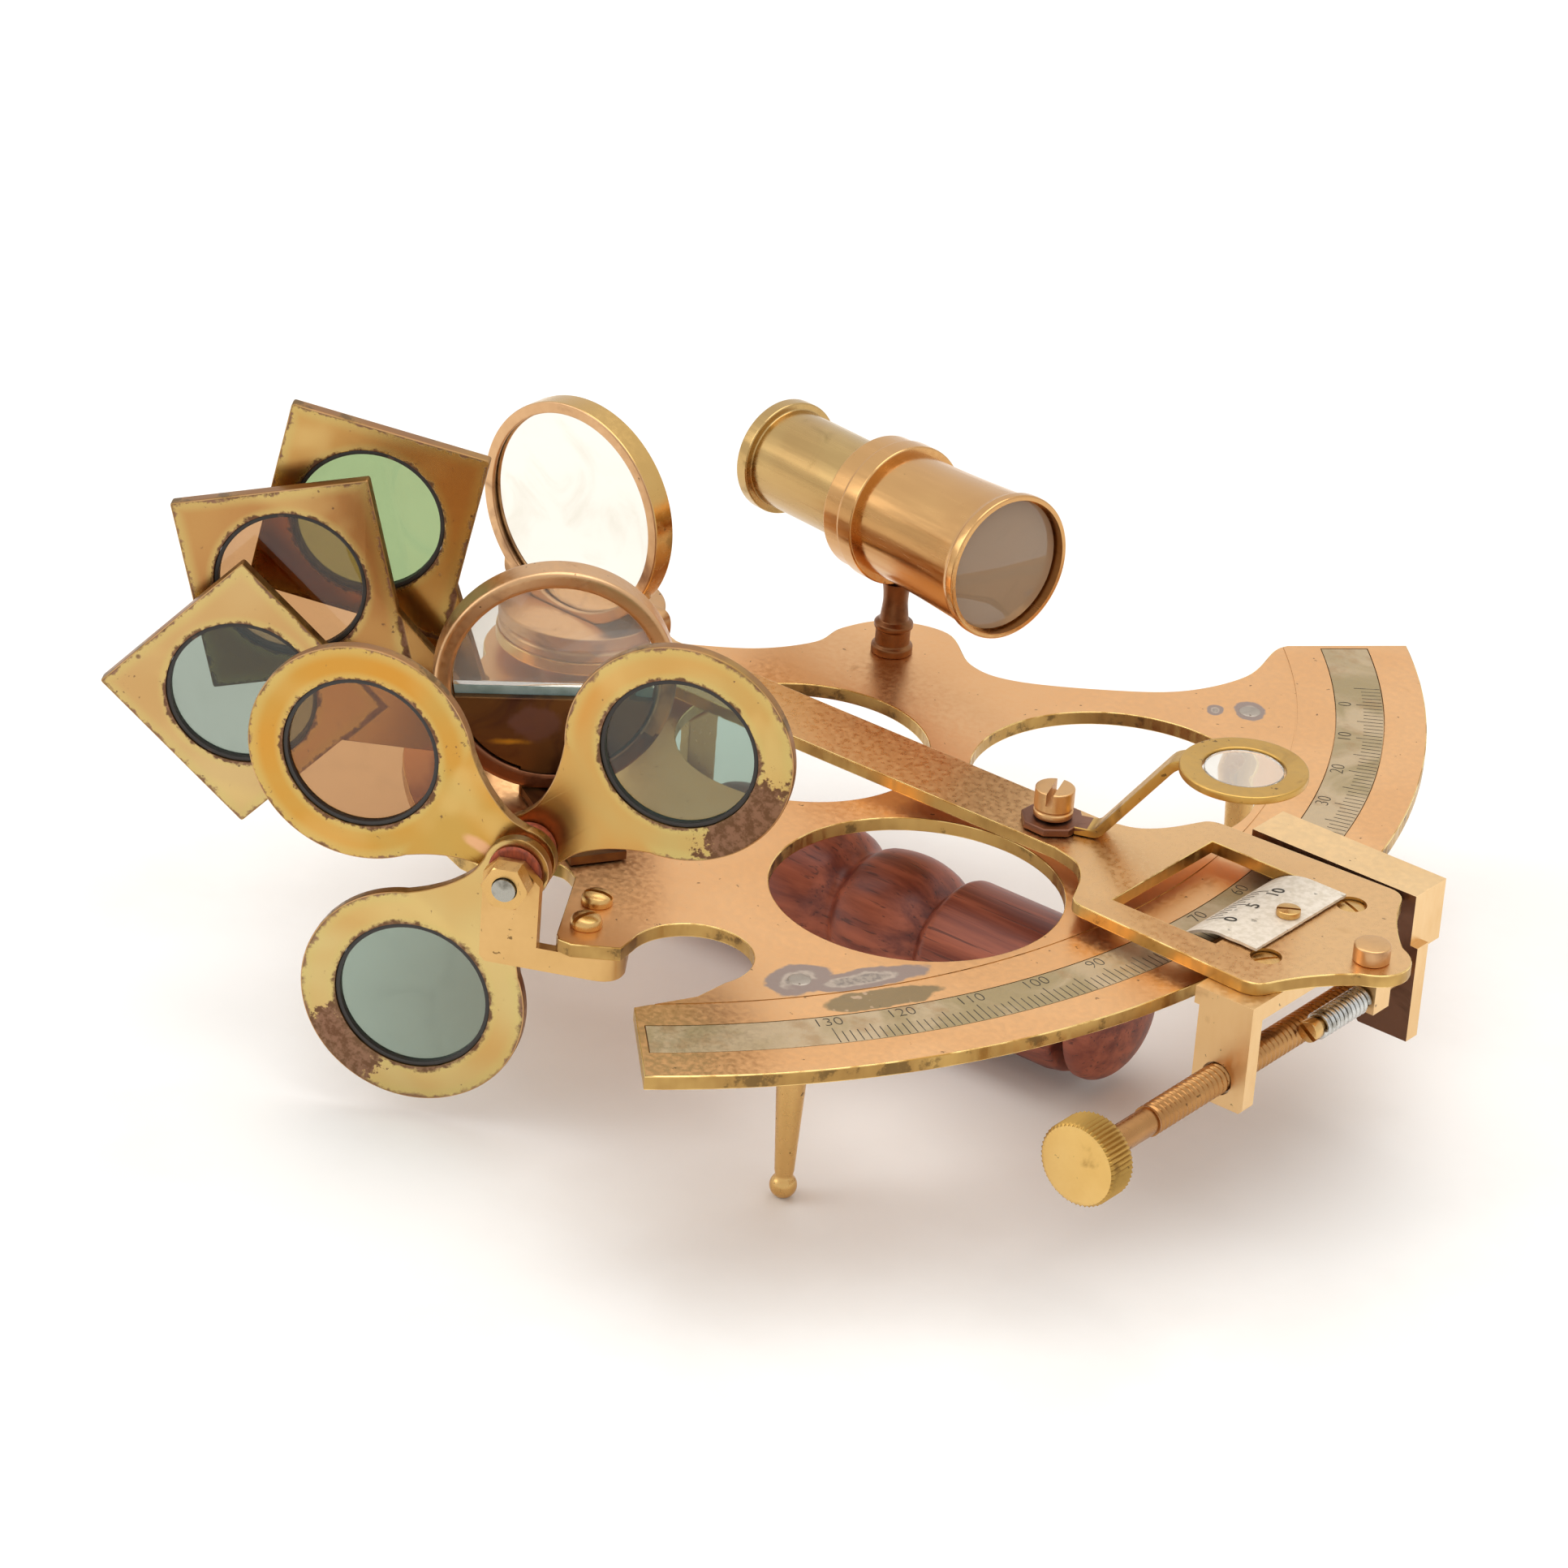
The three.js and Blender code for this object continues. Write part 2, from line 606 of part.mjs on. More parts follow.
/** A brass half disc that covers the silvered lower half of the glass, joined to a flat foot on the limb. */
function horizonBacking() {
  const footLow = -horizonCentre.z + plateTop + gap;
  const footHigh = footLow + 1.5;
  const footHalfWidth = 4.9;
  const footSkew = 16.3;
  const neckHalfWidth = 5;
  const foot = block(-footHalfWidth, footHalfWidth, -23.6, 2.3, footLow, footHigh)
    .rotateZ(radians(footSkew)).translate(0.6, 0, 0);
  return joined(
    uprightSlab(discBelow(horizonInner - gap, backingTop), backingFront, backingBack, 14),
    block(-neckHalfWidth, neckHalfWidth, backingFront, backingBack, footLow, -horizonInner + 2),
    foot,
  );
}

/** The ring, with a slot at its foot for the backing's neck. */
function horizonRing() {
  const ring = solidOf(turnedRing([
    [horizonInner, 0], [horizonRadius - 0.8, 0], [horizonRadius, 0.8], [horizonRadius, horizonDepth - 0.8],
    [horizonRadius - 0.8, horizonDepth], [horizonInner, horizonDepth],
  ]).rotateX(-Math.PI / 2));
  return cut(ring, block(-5.4, 5.4, backingFront - gap, backingBack + gap, -horizonRadius - 1, -horizonInner + 2),
    block(-12, 12, -1, horizonDepth + 1, -horizonRadius - 1, -horizonCentre.z + plateTop + gap + 1.8));
}

add('horizon_ring', horizonRing(), brass, horizon);
add('horizon_backing', horizonBacking(), brownBrass, horizon);
add('horizon_glass', uprightSlab(circleShape(0, 0, horizonInner - gap), backingBack + gap, 5.1, 14),
  mirrorGlass, horizon);

// ---- Horizon shades ----

const shades = turnedGroup(shadeBoltEnd, shadeTurn);
const boltRadius = 2;
const nutFront = 0.6;
const bracketFront = 4.2;
const bracketBack = 6.2;

/** An upright with a chamfered top, a low strip beside it and a flange screwed under the limb. */
function shadeBracket() {
  const low = -15.9;
  const flangeTop = plateBottom - shadeBoltEnd.z - gap;
  const upright = new THREE.Shape([
    [-4.6, low + 1], [-3.6, low], [10, low], [10, flangeTop], [5, flangeTop], [5, -0.5],
    [1.8, 2.8], [-2.6, 2.8], [-4.6, 0.6],
  ].map(([x, z]) => new THREE.Vector2(x, z)));
  const cornerRadius = 4.5;
  const flange = new THREE.Shape();
  flange.moveTo(8.4, bracketFront);
  flange.lineTo(19.1 - cornerRadius, bracketFront);
  flange.quadraticCurveTo(19.1, bracketFront, 19.1, bracketFront + cornerRadius);
  flange.lineTo(17, 21);
  flange.lineTo(8.4, 21);
  flange.closePath();
  const screwHoles = bracketScrews.map(([x, y]) => {
    const local = shades.worldToLocal(new THREE.Vector3(x, y, 0));
    return bar(local.x, local.y, low - 1, flangeTop + 1, 1.7);
  });
  return cut(joined(uprightSlab(upright, bracketFront, bracketBack), slab(flange, low, flangeTop, 6)),
    barAlongY(0, 0, bracketFront - 1, bracketBack + 1, boltRadius + gap), ...screwHoles);
}

/** A ring and its arm, bored for the bolt, with a seat for the glass. */
function horizonShade() {
  const hubRadius = 5.6;
  const arm = new THREE.Shape();
  arm.absarc(0, 0, hubRadius, radians(70), radians(290), false);
  arm.lineTo(17, -11.5);
  arm.lineTo(17, 11.5);
  arm.closePath();
  const body = joined(
    uprightSlab(circleShape(shadeArm, 0, shadeOuter), 0, shadeThickness, 14),
    uprightSlab(arm, 0, shadeThickness, 8),
  );
  return cut(body,
    barAlongY(shadeArm, 0, -1, shadeThickness + 1, shadeAperture, ringSides),
    barAlongY(shadeArm, 0, 0.5, shadeThickness + 1, shadeAperture + 1.3, ringSides),
    barAlongY(0, 0, -1, shadeThickness + 1, boltRadius + gap));
}

function addShade(group, index, shade, prefix, frame, glass) {
  const turnedShade = new THREE.Group();
  turnedShade.position.y = shade.front;
  turnedShade.rotation.y = radians(-shade.angle);
  group.add(turnedShade);
  add(`${prefix}_${index + 1}`, frame, brass, turnedShade);
  add(`${prefix}_glass_${index + 1}`, glass, plain(shade.colour, 0.1), turnedShade);
}

shades.updateMatrixWorld(true);
add('shade_bracket', shadeBracket(), yellowBrass, shades);
bracketScrews.forEach(([x, y], index) => {
  add(`bracket_screw_${index + 1}`, turned([
    [0, plateBottom - 3.6], [1.4, plateBottom - 3.6], [1.4, plateTop], [2.65, plateTop], [2.65, plateTop + 1.2],
    [1.9, plateTop + 1.9], [0, plateTop + 2.1],
  ]).translate(x, y, 0), yellowBrass);
});
horizonShades.forEach((shade, index) => {
  const pane = barAlongY(shadeArm, 0, 0.8, shadeThickness - 0.1, shadeAperture + 1, ringSides);
  addShade(shades, index, shade, 'horizon_shade', horizonShade(), pane);
});

const lastShadeBack = horizonShades[2].front + shadeThickness;
const boltEnd = lastShadeBack + gap + 2.4;
const fibreRing = (front, back) => cut(
  solidOf(barAlongY(0, 0, front, back, 4.6)),
  barAlongY(0, 0, front - 1, back + 1, boltRadius + gap),
);
add('shade_bolt', joined(
  barAlongY(0, 0, 0, lastShadeBack + gap + 0.5, boltRadius),
  barAlongY(0, 0, lastShadeBack + gap, boltEnd, 3.6, 6),
), steel, shades);
add('shade_nut', cut(
  solidOf(barAlongY(0, 0, nutFront, bracketFront - gap, 4.04, 6)),
  barAlongY(0, 0, 0, bracketFront, boltRadius + 0.15),
), yellowBrass, shades);
add('shade_washer_1', fibreRing(bracketBack + 0.25, horizonShades[0].front - 0.25), fibre, shades);
add('shade_washer_2', fibreRing(horizonShades[0].front + shadeThickness + 0.25, horizonShades[1].front - 0.25),
  fibre, shades);
add('shade_washer_3', fibreRing(horizonShades[1].front + shadeThickness + 0.3, horizonShades[2].front - 0.3),
  fibre, shades);

// ---- Index shades ----

const indexShadeGroup = turnedGroup(indexHinge, indexShadeTurn);
const indexPlateThickness = 2.2;
const indexBoltRadius = 1.8;

/** A square plate with a lug at one corner, bored for the bolt, with a seat for the glass. */
function indexShade() {
  const { x, y } = indexShadeCentre;
  const half = indexShadeHalfSide;
  const hubRadius = 4.8;
  const outline = new THREE.Shape();
  outline.absarc(0, 0, hubRadius, radians(150), radians(285), false);
  outline.lineTo(x - half + 10, y - half);
  outline.lineTo(x + half, y - half);
  outline.lineTo(x + half, y + half);
  outline.lineTo(x - half, y + half);
  outline.lineTo(x - half, y - half + 10);
  outline.closePath();
  return cut(solidOf(uprightSlab(outline, 0, indexPlateThickness, 6)),
    barAlongY(x, y, -1, indexPlateThickness + 1, shadeAperture - 0.2, ringSides),
    barAlongY(x, y, 0.6, indexPlateThickness + 1, shadeAperture + 1.1, ringSides),
    barAlongY(0, 0, -1, indexPlateThickness + 1, indexBoltRadius + gap));
}

indexShades.forEach((shade, index) => {
  const pane = barAlongY(indexShadeCentre.x, indexShadeCentre.y, 0.9, indexPlateThickness - 0.1,
    shadeAperture + 0.8, ringSides);
  addShade(indexShadeGroup, index, shade, 'index_shade', indexShade(), pane);
});

const indexBracketFront = indexShades[2].front + indexPlateThickness + gap;
const indexBracketBack = indexBracketFront + 2;
const indexFootLow = plateTop - indexHinge.z + gap;

/** An angle bracket: a foot on the limb and an ear that carries the bolt of the index shades. */
function indexShadeBracket() {
  const ear = new THREE.Shape();
  ear.absarc(0, 0, 5, 0, Math.PI, false);
  ear.lineTo(-5, indexFootLow);
  ear.lineTo(5, indexFootLow);
  ear.closePath();
  return cut(joined(
    uprightSlab(ear, indexBracketFront, indexBracketBack, 8),
    block(-5, 5, indexBracketFront, 23, indexFootLow, indexFootLow + 2),
  ), barAlongY(0, 0, indexBracketFront - 1, indexBracketBack + 1, indexBoltRadius + gap));
}

add('index_shade_bracket', indexShadeBracket(), brass, indexShadeGroup);
add('index_shade_bolt', joined(
  barAlongY(0, 0, -1.2, -gap, 2.6),
  barAlongY(0, 0, -1, indexBracketBack + 0.5, indexBoltRadius),
  barAlongY(0, 0, indexBracketBack + gap, indexBracketBack + 2.6, 3.2, 6),
), yellowBrass, indexShadeGroup);

// ---- Reading lens ----

const magnifier = turnedGroup(new THREE.Vector3(magnifierPivot.x, magnifierPivot.y, 0), magnifierTurn);
const magnifierBase = 1.5;
const magnifierOuter = 10.9;
const magnifierInner = 7;
const magnifierThickness = 1.3;

/** A round base under the screw, a bent strap and a level ring. */
function magnifierArm() {
  const low = armTop + gap / 2;
  const high = magnifierRingZ;
  const strap = new THREE.Shape([
    [3, low], [8, low], [21.4, high - magnifierThickness], [24, high - magnifierThickness], [24, high],
    [20.4, high], [7, low + magnifierBase], [3, low + magnifierBase],
  ].map(([x, z]) => new THREE.Vector2(x, z)));
  const ringLow = magnifierRingZ - magnifierThickness;
  return cut(joined(
    bar(0, 0, low, low + magnifierBase, 5.5),
    uprightSlab(strap, -2.4, 2.4),
    bar(magnifierReach, 0, ringLow, magnifierRingZ, magnifierOuter, 28),
  ),
  bar(magnifierReach, 0, ringLow - 1, magnifierRingZ + 1, magnifierInner, 28),
  bar(0, 0, low - 1, low + magnifierBase + 1, 1.8));
}

add('magnifier_arm', magnifierArm(), yellowBrass, magnifier);
add('magnifier_lens', turned([
  [0, -1], [3.5, -0.8], [magnifierInner - gap, -0.3], [magnifierInner - gap, 0.9], [3.5, 1.5], [0, 1.7],
], 28).translate(magnifierReach, 0, magnifierRingZ - 1), clearGlass, magnifier);
const magnifierHeadLow = armTop + magnifierBase + gap;
add('magnifier_screw', cut(solidOf(turned([
  [0, armBottom], [1.5, armBottom], [1.5, magnifierHeadLow], [3.4, magnifierHeadLow],
  [3.4, magnifierHeadLow + 5.1], [0, magnifierHeadLow + 5.1],
]).translate(magnifierPivot.x, magnifierPivot.y, 0)),
block(magnifierPivot.x - 0.65, magnifierPivot.x + 0.65, magnifierPivot.y - 5, magnifierPivot.y + 5,
  magnifierHeadLow + 2.9, magnifierHeadLow + 6)), brass);

export default sextant;
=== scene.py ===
"""The looks of the nautical sextant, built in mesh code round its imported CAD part.

Lengths are in millimetres until a mesh is made, and angles are in degrees. The frame is the CAD one:
the Z axis is the pivot of the index arm, +X runs to the middle of the arc, and the floor is z = 0.
"""

import math
import random

import bmesh
import bpy
from mathutils import Matrix, Vector


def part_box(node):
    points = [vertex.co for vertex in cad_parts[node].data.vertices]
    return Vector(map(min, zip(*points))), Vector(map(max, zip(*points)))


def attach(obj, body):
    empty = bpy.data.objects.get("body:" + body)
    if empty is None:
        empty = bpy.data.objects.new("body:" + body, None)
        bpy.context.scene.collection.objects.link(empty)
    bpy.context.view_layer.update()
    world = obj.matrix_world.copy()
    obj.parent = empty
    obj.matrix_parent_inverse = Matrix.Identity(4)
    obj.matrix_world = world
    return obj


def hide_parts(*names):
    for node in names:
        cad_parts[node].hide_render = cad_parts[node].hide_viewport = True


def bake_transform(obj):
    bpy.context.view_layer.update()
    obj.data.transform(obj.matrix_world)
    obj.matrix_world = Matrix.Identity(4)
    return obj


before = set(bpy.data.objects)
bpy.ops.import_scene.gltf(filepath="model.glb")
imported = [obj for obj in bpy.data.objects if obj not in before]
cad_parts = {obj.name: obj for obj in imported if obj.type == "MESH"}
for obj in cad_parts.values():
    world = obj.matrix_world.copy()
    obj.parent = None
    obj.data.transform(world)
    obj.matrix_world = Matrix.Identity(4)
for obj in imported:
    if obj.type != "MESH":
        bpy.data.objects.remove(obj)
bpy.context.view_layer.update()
MM = 0.001

# ---- Driving dimensions ----

PLATE_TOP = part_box("scale_arc")[1].z / MM
PLATE_BOTTOM = PLATE_TOP - 2.5
LIMB_RADIUS = 150
ARC_HALF_ANGLE = 46.3
ARC_INNER = 128
SCALE_INNER, SCALE_OUTER, SCALE_HALF_ANGLE = 134, 142.4, 45.7
ARM_BOTTOM = PLATE_TOP + 2.35
ARM_TOP = ARM_BOTTOM + 2.3
LEGS = {"leg_front": (101.8, -66.5), "leg_back": (98.7, 66)}
BRACKET_SCREWS = [(62, -70), (65.7, -77.2)]
ARM_SCREWS = {"arm_screw_front": (156, -12.45), "arm_screw_back": (156, 12.45)}
VERNIER_SCREW = (151.3, 0.6)
ARM_STUD = (169, -1)
MAGNIFIER_PIVOT = (103.8, -0.6)
MAGNIFIER_REACH = 31.7
TELESCOPE_POST = (39.6, 39.1)
SCREW_X, SCREW_Z = 157, PLATE_TOP - 12.8
PIN_X, PIN_Z = 161.6, PLATE_TOP - 10
CLAMP_Y = 22.5
CLAMP_SCREW = (142, 27.05)
HANDLE_Z = 14.5
HANDLE_CAP = 117.3
MIRROR_Z = PLATE_TOP + 27.9
HORIZON_Z = PLATE_TOP + 22
SHADES_Z = PLATE_TOP + 8.98
INDEX_SHADES_Z = PLATE_TOP + 8.8
LIMB_HOLES = [(50.3, 0, 22.05), (96.5, 28, 24.8), (96.5, -28, 24.8)]
GAP = 0.3


def spin(degrees, axis="Z"):
    return Matrix.Rotation(math.radians(degrees), 4, axis)


def group(x, y, z, turn=0.0):
    """The place of a group of pieces: a point, and a turn about the upright axis."""
    return Matrix.Translation(Vector((x, y, z)) * MM) @ spin(turn)


HERE = Matrix.Identity(4)
ALONG_Y = spin(-90, "X")
UPRIGHT = spin(90, "X")
INDEX_MIRROR = group(0, 0, 0, -1.9)
HORIZON = group(33, -47.8, HORIZON_Z, 42.7)
SHADES = group(58.89, -90.86, SHADES_Z, 24.24)
INDEX_SHADES = group(15.8, -53.3, INDEX_SHADES_Z, 31)
MAGNIFIER = group(*MAGNIFIER_PIVOT, 0, 20.5)
TELESCOPE = group(67.63, 32.64, PLATE_TOP + 28.56, -12.81) @ spin(-93.37, "Y")

# ---- Outlines ----


def arc(x, y, radius, start, end, step=3.0):
    """Points of a round stretch from one angle to another, clockwise if the end is the smaller."""
    count = max(2, round(abs(end - start) / step))
    angles = [math.radians(start + (end - start) * i / count) for i in range(count + 1)]
    return [(x + radius * math.cos(a), y + radius * math.sin(a)) for a in angles]


def circle(x, y, radius, sides=96):
    return arc(x, y, radius, 0, 360, 360 / sides)[:-1]


def through(points, steps=8):
    """A smooth curve through points, the first left out."""
    last = len(points) - 1
    found = []
    for i in range(last):
        p0, p1, p2, p3 = (Vector(points[k]) for k in (max(i - 1, 0), i, i + 1, min(i + 2, last)))
        for s in range(1, steps + 1):
            t = s / steps
            bend = (2 * p0 - 5 * p1 + 4 * p2 - p3) * t * t + (3 * p1 - p0 - 3 * p2 + p3) * t ** 3
            found.append(tuple((2 * p1 + (p2 - p0) * t + bend) / 2))
    return found


def bezier(start, control, end, steps=8):
    """A curve from start to end that bends towards control, the first point left out."""
    a, b, c = Vector(start), Vector(control), Vector(end)
    return [tuple(a.lerp(b, s / steps).lerp(b.lerp(c, s / steps), s / steps)) for s in range(1, steps + 1)]


def soften(points, radius, closed=True, steps=3):
    """The same points with their corners rounded."""
    found = []
    for i, point in enumerate(points):
        corner = Vector(point)
        if not closed and i in (0, len(points) - 1):
            found.append(tuple(corner))
            continue
        before = Vector(points[i - 1]) - corner
        after = Vector(points[(i + 1) % len(points)]) - corner
        if before.length < 1e-6 or after.length < 1e-6 or before.angle(after) > math.radians(155):
            found.append(tuple(corner))
            continue
        reach = min(radius, 0.45 * before.length, 0.45 * after.length)
        start = tuple(corner + before.normalized() * reach)
        end = tuple(corner + after.normalized() * reach)
        found += [start] + bezier(start, corner, end, steps)
    return found


def mirrored(half):
    """Half an outline above the X axis, completed below it."""
    return half + [(x, -y) for x, y in reversed(half) if abs(y) > 1e-6]


# ---- Meshes ----


def linked(name, data):
    """A new object in the scene."""
    holder = bpy.data.objects.new(name, data)
    bpy.context.scene.collection.objects.link(holder)
    return holder


def baked(holder):
    """The mesh that an object's curve or modifiers make. The object itself is removed."""
    bpy.context.view_layer.update()
    graph = bpy.context.evaluated_depsgraph_get()
    mesh = bpy.data.meshes.new_from_object(holder.evaluated_get(graph))
    bpy.data.objects.remove(holder)
    return mesh


def as_mesh(bm):
    mesh = bpy.data.meshes.new("piece")
    bm.to_mesh(mesh)
    bm.free()
    return mesh


def tidy(mesh, sharp=38.0):
    """Welds a mesh, turns its faces out, and shades it smooth apart from its sharp edges."""
    bm = bmesh.new()
    bm.from_mesh(mesh)
    bmesh.ops.remove_doubles(bm, verts=bm.verts, dist=2e-6)
    bmesh.ops.dissolve_degenerate(bm, edges=bm.edges, dist=1e-6)
    bmesh.ops.recalc_face_normals(bm, faces=bm.faces)
    for face in bm.faces:
        face.smooth = True
    for edge in bm.edges:
        edge.smooth = len(edge.link_faces) == 2 and edge.calc_face_angle(0) < math.radians(sharp)
    bm.to_mesh(mesh)
    bm.free()
    return mesh


def plate(loops, low, high, edge=0.25):
    """An outline and its holes made into a flat plate with rounded edges."""
    curve = bpy.data.curves.new("outline", "CURVE")
    curve.dimensions = "2D"
    curve.fill_mode = "BOTH"
    curve.extrude = (high - low) / 2 - edge
    curve.bevel_depth = edge
    curve.bevel_resolution = 1
    curve.offset = -edge
    for loop in loops:
        kept = [p for i, p in enumerate(loop) if (Vector(p) - Vector(loop[i - 1])).length > 1e-4]
        spline = curve.splines.new("POLY")
        spline.points.add(len(kept) - 1)
        for point, (x, y) in zip(spline.points, kept):
            point.co = (x, y, 0, 1)
        spline.use_cyclic_u = True
    mesh = baked(linked("outline", curve))
    mesh.transform(Matrix.Scale(MM, 4) @ Matrix.Translation((0, 0, (low + high) / 2)))
    return tidy(mesh)


def upright(loops, front, back, edge=0.25):
    """A plate whose outline is drawn in X and Z, between two Y values."""
    mesh = plate(loops, -back, -front, edge)
    mesh.transform(UPRIGHT)
    return mesh


def turned(profile, sides=64, closed=False, reshape=None):
    """Pairs of radius and height turned about the Z axis. reshape(r, h, angle) may change a radius."""
    bm = bmesh.new()
    rings = []
    for radius, height in profile:
        if radius < 1e-6:
            rings.append([bm.verts.new((0, 0, height * MM))])
            continue
        ring = []
        for k in range(sides):
            angle = 2 * math.pi * k / sides
            r = (reshape(radius, height, angle) if reshape else radius) * MM
            ring.append(bm.verts.new((r * math.cos(angle), r * math.sin(angle), height * MM)))
        rings.append(ring)
    pairs = list(zip(rings, rings[1:])) + ([(rings[-1], rings[0])] if closed else [])
    for low, high in pairs:
        for k in range(sides):
            corners = [low[k % len(low)], low[(k + 1) % len(low)], high[(k + 1) % len(high)],
                       high[k % len(high)]]
            unique = list(dict.fromkeys(corners))
            if len(unique) > 2:
                bm.faces.new(unique)
    return tidy(as_mesh(bm))


def lathe(profile, edge, sides=64):
    """A solid turned from a profile that starts and ends on the axis, with its corners softened."""
    return turned(soften(profile, edge, closed=False), sides)


def hoop(section, edge, sides=64, steps=3):
    """A ring turned from a closed section with its corners softened."""
    return turned(soften(section, edge, steps=steps), sides, closed=True)


def rod(radius, low, high, sides=48, edge=0.2):
    """A round bar along Z with softened ends."""
    return lathe([(0, low), (radius, low), (radius, high), (0, high)], edge, sides)


def pipe(inner, outer, low, high, sides=96, edge=0.25):
    """A ring with softened edges."""
    ring = [(inner, low), (outer, low), (outer, high), (inner, high)]
    return hoop(ring, edge, sides)


def brick(x0, x1, y0, y1, z0, z1):
    """A plain block, used as a cutter or joined into a shape whose edges are softened afterwards."""
    bm = bmesh.new()
    bmesh.ops.create_cube(bm, size=1)
    size = Matrix.Diagonal((x1 - x0, y1 - y0, z1 - z0, 1))
    bm.transform(Matrix.Scale(MM, 4) @ Matrix.Translation(((x0 + x1) / 2, (y0 + y1) / 2,
                                                           (z0 + z1) / 2)) @ size)
    return as_mesh(bm)


def moved(mesh, x=0.0, y=0.0, z=0.0, turn=HERE):
    """The mesh, turned and then shifted."""
    mesh.transform(Matrix.Translation(Vector((x, y, z)) * MM) @ turn)
    return mesh


def with_modifier(mesh, kind, others=(), **settings):
    """The mesh after one modifier, or after one Boolean for each of the other meshes."""
    holder = linked("work", mesh)
    helpers = [linked("helper", other) for other in others]
    for helper in helpers or [None]:
        modifier = holder.modifiers.new(kind, kind)
        for key, value in settings.items():
            setattr(modifier, key, value)
        if helper:
            modifier.object = helper
    result = baked(holder)
    for helper in helpers:
        bpy.data.objects.remove(helper)
    return result


def combined(operation, mesh, others, sharp=38.0):
    return tidy(with_modifier(mesh, "BOOLEAN", others, operation=operation, solver="EXACT"), sharp)


def cut(mesh, *cutters):
    return combined("DIFFERENCE", mesh, cutters)


def fused(mesh, *others):
    return combined("UNION", mesh, others)


def eased(mesh, width=0.3):
    """The mesh with its sharp edges softened."""
    limit = math.radians(42)
    return tidy(with_modifier(mesh, "BEVEL", width=width * MM, segments=2, angle_limit=limit,
                              use_clamp_overlap=True))


def grid_sheet(rows, thickness):
    """A sheet through rows of points, thickened downwards."""
    bm = bmesh.new()
    verts = [[bm.verts.new(Vector(p) * MM) for p in row] for row in rows]
    for r0, r1 in zip(verts, verts[1:]):
        for k in range(len(r0) - 1):
            bm.faces.new((r0[k], r1[k], r1[k + 1], r0[k + 1]))
    return tidy(with_modifier(as_mesh(bm), "SOLIDIFY", thickness=thickness * MM, offset=-1, use_rim=True))


def merged(meshes):
    """Several separate bodies kept together as one mesh, such as the marks of a scale."""
    bm = bmesh.new()
    for mesh in meshes:
        bm.from_mesh(mesh)
    return as_mesh(bm)


def add(name, mesh, materials, stands_for=None, place=HERE, body="frame"):
    """Puts a finished mesh in place as a piece that rides on a body and stands for a CAD node."""
    mesh = with_modifier(mesh, "WEIGHTED_NORMAL", keep_sharp=True, weight=100)
    mesh.materials.clear()
    for material in materials if isinstance(materials, list) else [materials]:
        mesh.materials.append(material)
    piece = linked(name, mesh)
    piece.matrix_world = place
    if body:
        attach(piece, body)
    if stands_for:
        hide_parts(stands_for)
    return piece


def paint(piece, chosen):
    """Gives the chosen faces the piece's second material."""
    for face in piece.data.polygons:
        if chosen(face):
            face.material_index = 1


def paint_edges(piece, edge=2):
    """Gives a flat piece's walls its second material, and its softened edges the one that edge names."""
    for face in piece.data.polygons:
        level = abs(face.normal.z)
        if level < 0.35:
            face.material_index = 1
        elif level < 0.93:
            face.material_index = edge


# ---- Materials ----


